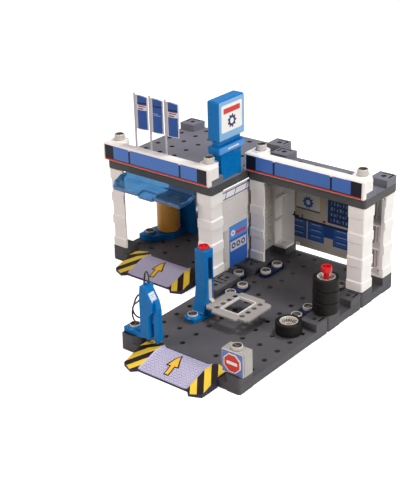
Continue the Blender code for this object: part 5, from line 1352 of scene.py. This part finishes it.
def spoke_ring():
    """Node tree that repeats one fin about Z.

    Shape is the fin, Count the number, Finish the material and Bowl Finish that of the faces marked as sunk,
    a dark grey of painted shade.
    """
    tree = bpy.data.node_groups.new("radial_fins", "GeometryNodeTree")
    faces = tree.interface
    faces.new_socket(name="Geometry", in_out="INPUT", socket_type="NodeSocketGeometry")
    faces.new_socket(name="Shape", in_out="INPUT", socket_type="NodeSocketObject")
    faces.new_socket(name="Count", in_out="INPUT", socket_type="NodeSocketInt").default_value = 24
    faces.new_socket(name="Finish", in_out="INPUT", socket_type="NodeSocketMaterial")
    faces.new_socket(name="Bowl Finish", in_out="INPUT", socket_type="NodeSocketMaterial")
    faces.new_socket(name="Geometry", in_out="OUTPUT", socket_type="NodeSocketGeometry")
    given = tree.nodes.new("NodeGroupInput").outputs
    fin = add(tree, "GeometryNodeObjectInfo", {"Object": given["Shape"]}).outputs["Geometry"]
    points = add(tree, "GeometryNodePoints", {"Count": given["Count"]}).outputs[0]
    index = add(tree, "GeometryNodeInputIndex").outputs[0]
    step = add(tree, "ShaderNodeMath", {0: 2 * math.pi, 1: given["Count"]}, operation="DIVIDE").outputs[0]
    angle = add(tree, "ShaderNodeMath", {0: index, 1: step}, operation="MULTIPLY").outputs[0]
    turn = add(tree, "ShaderNodeCombineXYZ", {2: angle}).outputs[0]
    ring = add(tree, "GeometryNodeInstanceOnPoints", {"Points": points, "Instance": fin, "Rotation": turn})
    joined = add(tree, "GeometryNodeJoinGeometry")
    tree.links.new(ring.outputs[0], joined.inputs[0])
    tree.links.new(given["Geometry"], joined.inputs[0])
    real = add(tree, "GeometryNodeRealizeInstances", {"Geometry": joined.outputs[0]}).outputs[0]
    sunk = add(tree, "GeometryNodeInputNamedAttribute", {"Name": "sunk"}, data_type="BOOLEAN").outputs["Attribute"]
    dressed = add(tree, "GeometryNodeSetMaterial", {"Geometry": real, "Material": given["Finish"]}).outputs[0]
    dressed = add(tree, "GeometryNodeSetMaterial", {"Geometry": dressed, "Selection": sunk,
                                                    "Material": given["Bowl Finish"]}).outputs[0]
    add(tree, "NodeGroupOutput", {"Geometry": dressed})
    return tree


def tyre_shape():
    """Slick tyre lying flat: round shoulders, a bead lip at each side and a shallow centre seam."""
    outer, inner, half = WHEEL_RADIUS, RIM_RADIUS + GAP, WHEEL_WIDTH / 2
    side = [(outer - 0.35 * MM, 0), (outer - 0.35 * MM, 0.35 * MM), (outer, 0.7 * MM), (outer, half - 1.8 * MM)]
    for step in range(1, 9):
        angle = math.pi / 2 * step / 8
        side.append((outer - 1.8 * MM + 1.8 * MM * math.cos(angle), half - 1.8 * MM + 1.8 * MM * math.sin(angle)))
    side += [(inner + 3.4 * MM, half), (inner + 3.1 * MM, half - 0.5 * MM), (inner + 2.4 * MM, half - 0.5 * MM),
             (inner + 2.1 * MM, half), (inner + 0.4 * MM, half), (inner, half - 0.4 * MM)]
    profile = side[1:] + [(r, -z) for r, z in side[::-1]]
    thing = as_object("tyre_shape", moved(turned(profile, 64, ring=True), (0, 0, half)))
    return softened(thing, 0)


def rim_shape(tree):
    """Rim lying flat: an outer lip, a deep bowl with 16 thin fins over it on both sides, and a hub's bore."""
    outer, half, bore = RIM_RADIUS, WHEEL_WIDTH / 2, RIM_BORE
    bowl = []
    for step in range(9):
        share = step / 8
        bowl.append((bore + 1.7 * MM + (outer - bore - 3.1 * MM) * share, half - 8.6 * MM + 5.4 * MM * share ** 2.2))
    upper = [(bore, 0), (bore, half - 6.0 * MM), (bore + 1.2 * MM, half - 5.6 * MM)] + bowl + [
        (outer - 1.2 * MM, half - 0.2 * MM), (outer - 0.3 * MM, half), (outer, half - 0.3 * MM)]
    profile = upper[1:] + [(r, -z) for r, z in upper[:0:-1]]
    base = as_object("rim_shape", turned(profile, 64, ring=True))
    # The bowl's faces are marked sunk, to take the dark grey of painted shade between the fins
    sunk = base.data.attributes.new("sunk", "BOOLEAN", "FACE")
    for face, mark in zip(base.data.polygons, sunk.data):
        mark.value = bore + 1.8 * MM < face.center.to_2d().length < outer - 2.2 * MM
    low = half - 9.2 * MM
    outline = [(bore + 1.0 * MM, low), (outer - 0.8 * MM, half - 5.0 * MM), (outer - 0.8 * MM, half - 0.7 * MM),
               (outer - 3.0 * MM, half - 1.5 * MM), (bore + 3.2 * MM, half - 4.8 * MM),
               (bore + 1.0 * MM, half - 5.4 * MM)]
    fin = together([prism(outline, -0.42 * MM, 0.42 * MM, "Y"),
                    prism([(x, -z) for x, z in outline], -0.42 * MM, 0.42 * MM, "Y")])
    fin_thing = as_object("fin", fin)
    grown(base, tree, shape=fin_thing, count=16, finish=RIM_ABS, bowl_finish=BOWL_PAINTED_SHADE)
    discard(fin_thing)
    base.data.transform(Matrix.Translation((0, 0, half)))
    return softened(base, 0)


def wheels():
    """Three wheels on the red post and a loose one, each a tyre on its finned rim."""
    tree = spoke_ring()
    tyre, rim = tyre_shape(), rim_shape(tree)
    for number in ("1", "2", "3", "loose"):
        for source, kind, finish, name in ((tyre, "tyre", RUBBER, "slick"), (rim, "rim", None, "fins")):
            node = f"{kind}_{number}"
            low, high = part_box(node)
            place = Vector(((low.x + high.x) / 2, (low.y + high.y) / 2, low.z))
            finished(placed(f"{node}_{name}", source, place), finish, node)
    discard(tyre)
    discard(rim)


def wheel_post():
    """Red post through the wheels: a peg, a ribbed stem and a cup-shaped grip with a cross in it."""
    low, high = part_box("wheel_post")
    axis = Vector(((low.x + high.x) / 2, (low.y + high.y) / 2, 0))
    top = high.z - low.z
    seat = top - 9.4 * MM
    collar = BLOCK_HEIGHT + GAP - BLOCK_HEIGHT / 4
    grip = 8.9 * MM
    profile = [(0, 0), (3.0 * MM, 0), (3.6 * MM, 0.8 * MM), (3.6 * MM, collar), (4.5 * MM, collar + 0.2 * MM),
               (4.5 * MM, seat - 9.6 * MM), (2.2 * MM, seat - 8.6 * MM), (2.2 * MM, seat), (grip - 0.6 * MM, seat), (grip, seat + 0.6 * MM), (grip, top - 1.0 * MM),
               (grip - 0.9 * MM, top), (grip - 2.2 * MM, top), (grip - 2.6 * MM, top - 0.4 * MM),
               (grip - 2.9 * MM, top - 6.5 * MM), (0, top - 6.5 * MM)]
    solid = turned(profile, 48)
    for turn in range(2):
        rib = box((-1.0 * MM, 2.8 * MM - grip, top - 7.0 * MM), (1.0 * MM, grip - 2.8 * MM, top - 2.6 * MM))
        solid = united(solid, rotated(rib, turn * math.pi / 2 + math.pi / 4))
        fin = box((-0.9 * MM, -4.4 * MM, seat - 9.8 * MM), (0.9 * MM, 4.4 * MM, seat + 0.2 * MM))
        solid = united(solid, rotated(fin, turn * math.pi / 2 + math.pi / 4))
    piece = softened(as_object("wheel_post_grip", moved(solid, axis + Vector((0, 0, low.z)))), 0.2 * MM)
    finished(piece, RED_ABS, "wheel_post")


wheels()
wheel_post()


# Canopy


def clear_finish(name, value, roughness):
    """Tinted clear polystyrene: light passes through it, with hard gloss and faint flow marks on its skin."""
    material, tree, shader, place = start_material(name)
    flow = add(tree, "ShaderNodeTexNoise", {"Vector": place, "Scale": 34.0, "Detail": 2.0, "Distortion": 1.4})
    tint = add(tree, "ShaderNodeMix", {0: flow.outputs["Fac"], 6: colour(value), 7: colour("5C98C6")},
               data_type="RGBA")
    tree.links.new(tint.outputs[2], shader.inputs["Base Color"])
    shader.inputs["Roughness"].default_value = roughness
    shader.inputs["Transmission Weight"].default_value = 0.80
    shader.inputs["IOR"].default_value = 1.45
    shader.inputs["Coat Weight"].default_value = 0.4
    shader.inputs["Coat Roughness"].default_value = 0.05
    bump = add(tree, "ShaderNodeBump", {"Height": flow.outputs["Fac"], "Distance": 0.5 * MM, "Strength": 0.2})
    tree.links.new(bump.outputs["Normal"], shader.inputs["Normal"])
    return material


CLEAR_BLUE = clear_finish("clear_polystyrene_blue", "2F6FA6", 0.05)


CANOPY_HINGE = Vector((-117.05, 27.72, 171.7)) * MM


def canopy():
    """Clear blue canopy over the wash entry, with its rim, its raised grip and a lip up to the roof behind."""
    half = 77.2 * MM
    lip = [(-7.6, -1.8), (-3.2, -1.4), (-0.2, 0.8), (2.1, 4.9), (0.8, 5.3), (-1.6, 1.6), (-4.4, 0.1), (-7.6, 0.0)]
    solid = prism([(y * MM, z * MM) for y, z in lip], -half, half, "X")
    bmesh.ops.transform(solid, verts=solid.verts, matrix=Matrix.Translation(CANOPY_HINGE)
                        @ Matrix.Rotation(math.radians(20.5), 4, "X"))
    from_node("canopy_tray_clear", "canopy", 0.5 * MM, CLEAR_BLUE, (solid,))


canopy()


# Wash stand and roller


def foam_finish():
    """Amber foam of the roller: open pores, and a little darker towards the bottom and lighter towards the top, painted
    shade and light.
    """
    material, tree, shader, place = start_material("roller_foam_amber")
    low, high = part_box("wash_roller")
    height = add(tree, "ShaderNodeSeparateXYZ", {0: place}).outputs["Z"]
    ramp = add(tree, "ShaderNodeMapRange", {"Value": height, "From Min": low.z, "From Max": high.z}).outputs["Result"]
    pores = add(tree, "ShaderNodeTexNoise", {"Vector": place, "Scale": 1100.0, "Detail": 4.0}).outputs["Fac"]
    # Lighter towards the top and darker towards the bottom: painted light and shade
    shade = add(tree, "ShaderNodeMix", {0: ramp, 6: colour("F8A836"), 7: colour("FCBB52")}, data_type="RGBA")
    dark = add(tree, "ShaderNodeMapRange", {"Value": pores, "From Min": 0.3, "From Max": 0.6, "To Min": 0.45}
               ).outputs["Result"]
    mixed = add(tree, "ShaderNodeMix", {0: dark, 6: colour("C8781C"), 7: shade.outputs[2]}, data_type="RGBA")
    tree.links.new(mixed.outputs[2], shader.inputs["Base Color"])
    shader.inputs["Roughness"].default_value = 0.45
    shader.inputs["Sheen Weight"].default_value = 0.4
    bump = add(tree, "ShaderNodeBump", {"Height": pores, "Distance": 0.4 * MM, "Strength": 0.6})
    tree.links.new(bump.outputs["Normal"], shader.inputs["Normal"])
    return material


FOAM = foam_finish()


def roller():
    """Foam drum with soft shoulders."""
    low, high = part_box("wash_roller")
    radius, length, bore = (high.x - low.x) / 2, high.z - low.z, 3.0 * MM
    edge = 4.0 * MM
    side = [(bore, 0), (radius - edge, 0)]
    for step in range(1, 7):
        angle = math.pi / 2 * step / 6
        side.append((radius - edge + edge * math.sin(angle), edge - edge * math.cos(angle)))
    profile = side + [(r, length - z) for r, z in side[::-1]]
    place = Vector(((low.x + high.x) / 2, (low.y + high.y) / 2, low.z))
    piece = softened(as_object("wash_roller_foam", moved(turned(profile, 64, ring=True), place)), 0)
    finished(piece, FOAM, "wash_roller")


roller()
from_node("wash_stand_moulding", "wash_stand", 0.7 * MM, BLUE_ABS,
          (moved(screw_saucer(10 * MM), cell(-8, 8)),))


# Lift


LIFT_PLACE = cell(0.05, 2.91)


def lift_column():
    """Swept blue column with its tall slot a little towards +Y, from the solid's shape."""
    shape = bmesh.new()
    shape.from_mesh(frame["nodes"]["lift_column"].data)
    bmesh.ops.remove_doubles(shape, verts=shape.verts, dist=MERGE_DISTANCE)
    bmesh.ops.dissolve_limit(shape, angle_limit=math.radians(1), verts=shape.verts, edges=shape.edges)
    slot = box((2 * MM, -3.4 * MM, 15.0 * MM), (20 * MM, 6.3 * MM, 103.0 * MM))
    shape = united(cut(shape, moved(slot, LIFT_PLACE)), moved(screw_saucer(6.6 * MM), cell(0, 2)))
    finished(softened(as_object("lift_column_moulding", shape), 0.6 * MM), BLUE_ABS, "lift_column")


def lift_carriage():
    """Nut on the lead screw, a flat bar that shows in the slot and a small foot that carries the platform."""
    half_x, half_y, low, high = 6.8 * MM, 6.1 * MM, 17.0 * MM, 62.5 * MM
    bar_front = 10.6 * MM
    seat = 24.3 * MM
    solid = box((-half_x, -half_y, low), (half_x, half_y, high))
    bar_solid = box((half_x - 1 * MM, -2.9 * MM, low), (bar_front, 5.8 * MM, high))
    foot = prism([(bar_front - 1 * MM, seat), (16.4 * MM, seat), (16.4 * MM, seat + 1.2 * MM),
                  (13.4 * MM, seat + 4.2 * MM), (bar_front - 1 * MM, seat + 5.0 * MM)], -2.4 * MM, 5.3 * MM, "Y")
    solid = united(solid, bar_solid, foot)
    solid = cut(solid, cylinder(6.2 * MM, 0, 2 * high, 24))
    piece = softened(as_object("lift_carriage_bar", moved(solid, LIFT_PLACE)), 0.4 * MM)
    finished(piece, CARRIAGE_ABS, "lift_carriage")


def lift_screw():
    """Red lead screw with its coarse thread and a low cup-shaped knob."""
    low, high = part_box("lift_screw")
    seat = 116.5 * MM
    top = seat + 4.4 * MM
    base = low.z - LIFT_PLACE.z
    grip = 9.1 * MM
    profile = [(0, base), (2.2 * MM, base), (2.7 * MM, base + 0.5 * MM)]
    turns = 44
    for turn in range(turns):
        z = base + 2.0 * MM + (seat - base - 4.0 * MM) * turn / turns
        profile += [(2.7 * MM, z), (2.15 * MM, z + 0.9 * MM), (2.15 * MM, z + 1.3 * MM)]
    profile += [(2.7 * MM, seat - 1.4 * MM), (2.7 * MM, seat), (grip - 0.5 * MM, seat), (grip, seat + 0.5 * MM),
                (grip, top - 0.9 * MM), (grip - 0.8 * MM, top), (grip - 1.6 * MM, top),
                (grip - 2.0 * MM, top - 0.4 * MM), (grip - 2.2 * MM, top - 3.2 * MM), (0, top - 3.2 * MM)]
    solid = turned(profile, 32)
    for turn in range(2):
        rib = box((-0.9 * MM, 2.1 * MM - grip, top - 3.6 * MM), (0.9 * MM, grip - 2.1 * MM, top - 1.0 * MM))
        solid = united(solid, rotated(rib, turn * math.pi / 2 + math.pi / 4))
    piece = softened(as_object("lift_screw_knob", moved(solid, LIFT_PLACE)), 0.15 * MM)
    finished(piece, RED_ABS, "lift_screw")


# The window's frame is glossy from a polished tool, and its pale grey is painted highlight on the raised rim, so it
# shines white beside the stone-grey sheet
FRAME_PAINTED_HIGHLIGHT = moulded("moulded_abs_bright_frame", "E4E1DD", "D7D3CF", 0.20, 1.2 * MM, 0.02 * MM, shine=0.7)


def lift_platform():
    """Platform as a thin-walled tray: leaves at both ends, a raised frame in a pale painted highlight and round holes.
    """
    low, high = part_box("lift_platform")
    middle = (low + high) / 2
    half_x = (high.x - low.x) / 2
    half_y = 34.05 * MM
    leaf = 23.25 * MM
    ends = (high.y - low.y) / 2
    thick = 3.4 * MM
    sheet = 1.8 * MM
    chamfer = 5.0 * MM
    outline = [(-half_x, chamfer - half_y), (chamfer - half_x, -half_y), (-leaf - 2 * MM, -half_y), (-leaf, -ends), (leaf, -ends),
               (leaf + 2 * MM, -half_y), (half_x - chamfer, -half_y), (half_x, chamfer - half_y),
               (half_x, half_y - chamfer), (half_x - chamfer, half_y), (leaf + 2 * MM, half_y), (leaf, ends), (-leaf, ends),
               (-leaf - 2 * MM, half_y), (chamfer - half_x, half_y), (-half_x, half_y - chamfer)]
    solid = prism(outline, -thick, 0)
    wall = 2.2 * MM
    solid = cut(solid, box((wall - half_x, wall - half_y, -2 * thick), (half_x - wall, half_y - wall, -sheet)))
    window_x, window_y, rim = 16.25 * MM, 23.75 * MM, 1.6 * MM
    outer_frame = prism(rounded_rectangle(window_x + rim, window_y + rim, 2.4 * MM, 4), -thick, 1.4 * MM)
    inner_frame = prism(rounded_rectangle(window_x, window_y, 1.0 * MM, 4), -2 * thick, 2 * thick)
    solid = cut(united(solid, outer_frame), inner_frame)
    holes = []
    for x in (-window_x - 8.8 * MM, window_x + 8.8 * MM):
        for step in range(4):
            y = window_y * (2 * step / 3 - 1)
            holes.append(moved(cylinder(8.8 * MM, -2 * thick, thick, 32), (x, y, 0)))
    solid = cut(solid, together(holes))
    place = Vector((middle.x, middle.y, high.z - 1.4 * MM))
    piece = softened(as_object("lift_platform_tray", moved(solid, place)), 0.3 * MM)
    piece.data.materials.clear()
    piece = finished(piece, PLATFORM_ABS, "lift_platform")
    # The raised frame round the window takes a pale grey, painted highlight
    piece.data.materials.append(FRAME_PAINTED_HIGHLIGHT)
    for face in piece.data.polygons:
        x, y, z = face.center - place
        if abs(x) < window_x + rim + 0.1 * MM and abs(y) < window_y + rim + 0.1 * MM and z > -thick + 0.2 * MM:
            face.material_index = 1


lift_column()
lift_carriage()
lift_screw()
lift_platform()


# Fuel pump


def pump():
    """Blue pump with its leaning head, nozzle at its side and a plain grey-white card on the slope."""
    depth, foot_top = 9.95 * MM, 21.4 * MM + GAP
    back = 20.0 * MM
    right, head, crown, top = 37.2 * MM, 44.8 * MM, 96.3 * MM, 102.9 * MM
    profile = [(back, 15 * MM), (right, 15 * MM), (right, 53.1 * MM), (head, 63.1 * MM), (head, 76.4 * MM),
               (33.2 * MM, crown), (33.2 * MM, top), (22.6 * MM, top), (21.6 * MM, crown), (back, 80 * MM)]
    solid = prism(profile, -depth, depth, "Y")
    foot = box((-15 * MM, -depth, 12.9 * MM + GAP), (back + 4 * MM, depth, foot_top))
    wedge = prism([(8.5 * MM, foot_top - MM), (back + MM, foot_top - MM), (back + MM, foot_top + 9 * MM),
                   (13 * MM, foot_top + 3.2 * MM), (8.5 * MM, foot_top + 3.2 * MM)], -7 * MM, 7 * MM, "Y")
    solid = united(solid, foot, cut(wedge, cylinder(HEAD_RADIUS + 0.6 * MM, 0, 2 * foot_top, 40)))
    solid = cut(united(solid, screw_saucer(foot_top)), cylinder(SHAFT_RADIUS + 0.4 * MM, 0, 2 * foot_top, 24))
    for x in (25.08 * MM, 32.08 * MM):
        solid = united(solid, moved(cylinder(2.6 * MM, top - MM, top + 3 * MM, 20), (x, 0, 0)))
    leaf = prism([(head - 1.5 * MM, 66 * MM), (head - 1.5 * MM, 12.5 * MM), (head + 0.8 * MM, 8.6 * MM),
                  (head + 4.2 * MM, 8.6 * MM), (head + 7.4 * MM, 12.5 * MM), (head + 7.4 * MM, 66 * MM),
                  (head + 5.4 * MM, 76 * MM), (head + 1.5 * MM, 82.8 * MM), (head - 1.5 * MM, 80 * MM)],
                 -5 * MM, 5 * MM, "Y")
    hub = prism([(right - MM, 40 * MM), (head, 44 * MM), (head, 62 * MM), (right - MM, 60 * MM)], -4 * MM, 4 * MM, "Y")
    solid = united(solid, leaf, hub)
    piece = softened(as_object("pump_body_moulding", moved(solid, PUMP_PLACE)), 1.2 * MM, 3)
    finished(piece, BLUE_ABS, "pump_body")
    down = Vector((head - 33.2 * MM, 0, 76.4 * MM - crown)).normalized()
    origin = PUMP_PLACE + Vector((head, -6.4 * MM, 76.4 * MM))
    layers = [("B9C4D0", [soft_bar(0, 2.2, 12.8, 18.4, 1.2)]), ("DDE2E6", [soft_bar(1.0, 3.2, 11.8, 17.4, 0.8)]),
              ("8FA3B8", [bar(2.4, 13.0, 10.4, 14.2), bar(2.4, 10.4, 8.0, 11.4)])]
    printed("pump_card", "base", origin, (0, 1, 0), -down, layers)


pump()


# Flags


def flags():
    """Three bowed flags on grey posts, each with a printed card on both faces."""
    blue, dark, pale = "21509A", "0F1C48", "D4D2D8"
    for number in (1, 2, 3):
        node = f"flag_{number}"
        thing = from_node(node + "_post", node, 0.15 * MM, FLAG_ABS)
        low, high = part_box(node)
        axis_x = low.x + 5.5 * MM
        left = axis_x + 0.9 * MM
        layers = [(pale, [(6.4, 1.2), (28.0, 1.2), (28.0, 57.8), (6.4, 57.8)]),
                  (blue, [(8.0, 1.6), (27.4, 1.6), (27.4, 57.4), (8.0, 57.4)]),
                  (dark, [(8.0, 46.0), (27.4, 46.0), (27.4, 48.8), (8.0, 48.8)])]
        if number != 2:
            layers += [(pale, [(8.0, 35.0), (27.4, 35.0), (27.4, 44.0), (8.0, 44.0)]),
                       ("CF3A34", [(10.5, 40.6), (25.0, 40.6), (25.0, 42.8), (10.5, 42.8)]),
                       (dark, [(10.5, 36.6), (21.0, 36.6), (21.0, 38.4), (10.5, 38.4)])]
        else:
            layers += [("8FA8D8", [(9.5, 34.0), (20.0, 34.0), (20.0, 35.2), (9.5, 35.2)]),
                       ("8FA8D8", [(9.5, 31.2), (25.0, 31.2), (25.0, 32.4), (9.5, 32.4)])]
        panel_low = high.z - 3.5 * MM - 59.0 * MM
        for side in (-1, 1):
            flag_card(f"{node}_card_{'front' if side < 0 else 'back'}", (left, (low.y + high.y) / 2, panel_low), side,
                      layers)


def flag_card(name, origin, side, layers):
    """Card bent over one face of a flag; side is -1 for the face towards -Y."""
    middle = FLAG_MIDDLE_Y
    solids = bmesh.new()
    mesh = bpy.data.meshes.new(name)
    for index, (value, corners) in enumerate(layers):
        (u0, v0), (u1, v1) = corners[0], corners[2]
        shape = bmesh.new()
        rows = []
        height = side * (0.72 + 0.06 + 0.03 * index) * MM
        for step in range(13):
            u = u0 + (u1 - u0) * step / 12
            bow = -3.0 * math.sin(math.pi * u / 28.6) * MM
            arch = 3.0 * math.sin(math.pi * u / 28.6) if v1 > 55 else 0.0
            rows.append([shape.verts.new((origin[0] + u * MM, middle + bow + depth, origin[2] + v * MM))
                         for v, depth in ((v0, height), (v1 + arch, height), (v1 + arch, side * 0.6 * MM),
                                          (v0, side * 0.6 * MM))])
        for near, far in zip(rows, rows[1:]):
            for k in range(4):
                shape.faces.new((near[k], near[(k + 1) % 4], far[(k + 1) % 4], far[k]))
        shape.faces.new(rows[0])
        shape.faces.new(rows[-1])
        bmesh.ops.recalc_face_normals(shape, faces=shape.faces)
        for face in shape.faces:
            face.material_index = index
        scratch = bpy.data.meshes.new("scratch")
        shape.to_mesh(scratch)
        shape.free()
        solids.from_mesh(scratch)
        bpy.data.meshes.remove(scratch)
        mesh.materials.append(ink(value))
    solids.to_mesh(mesh)
    solids.free()
    thing = bpy.data.objects.new(name, mesh)
    bpy.context.collection.objects.link(thing)
    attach(thing, "base")


FLAG_MIDDLE_Y = cell(-7.0, 6.2).y
FLAG_ABS = moulded("moulded_abs_flag_grey", "C6C5CC", "B8B7BF", 0.32, 1.0 * MM, 0.03 * MM)
flags()
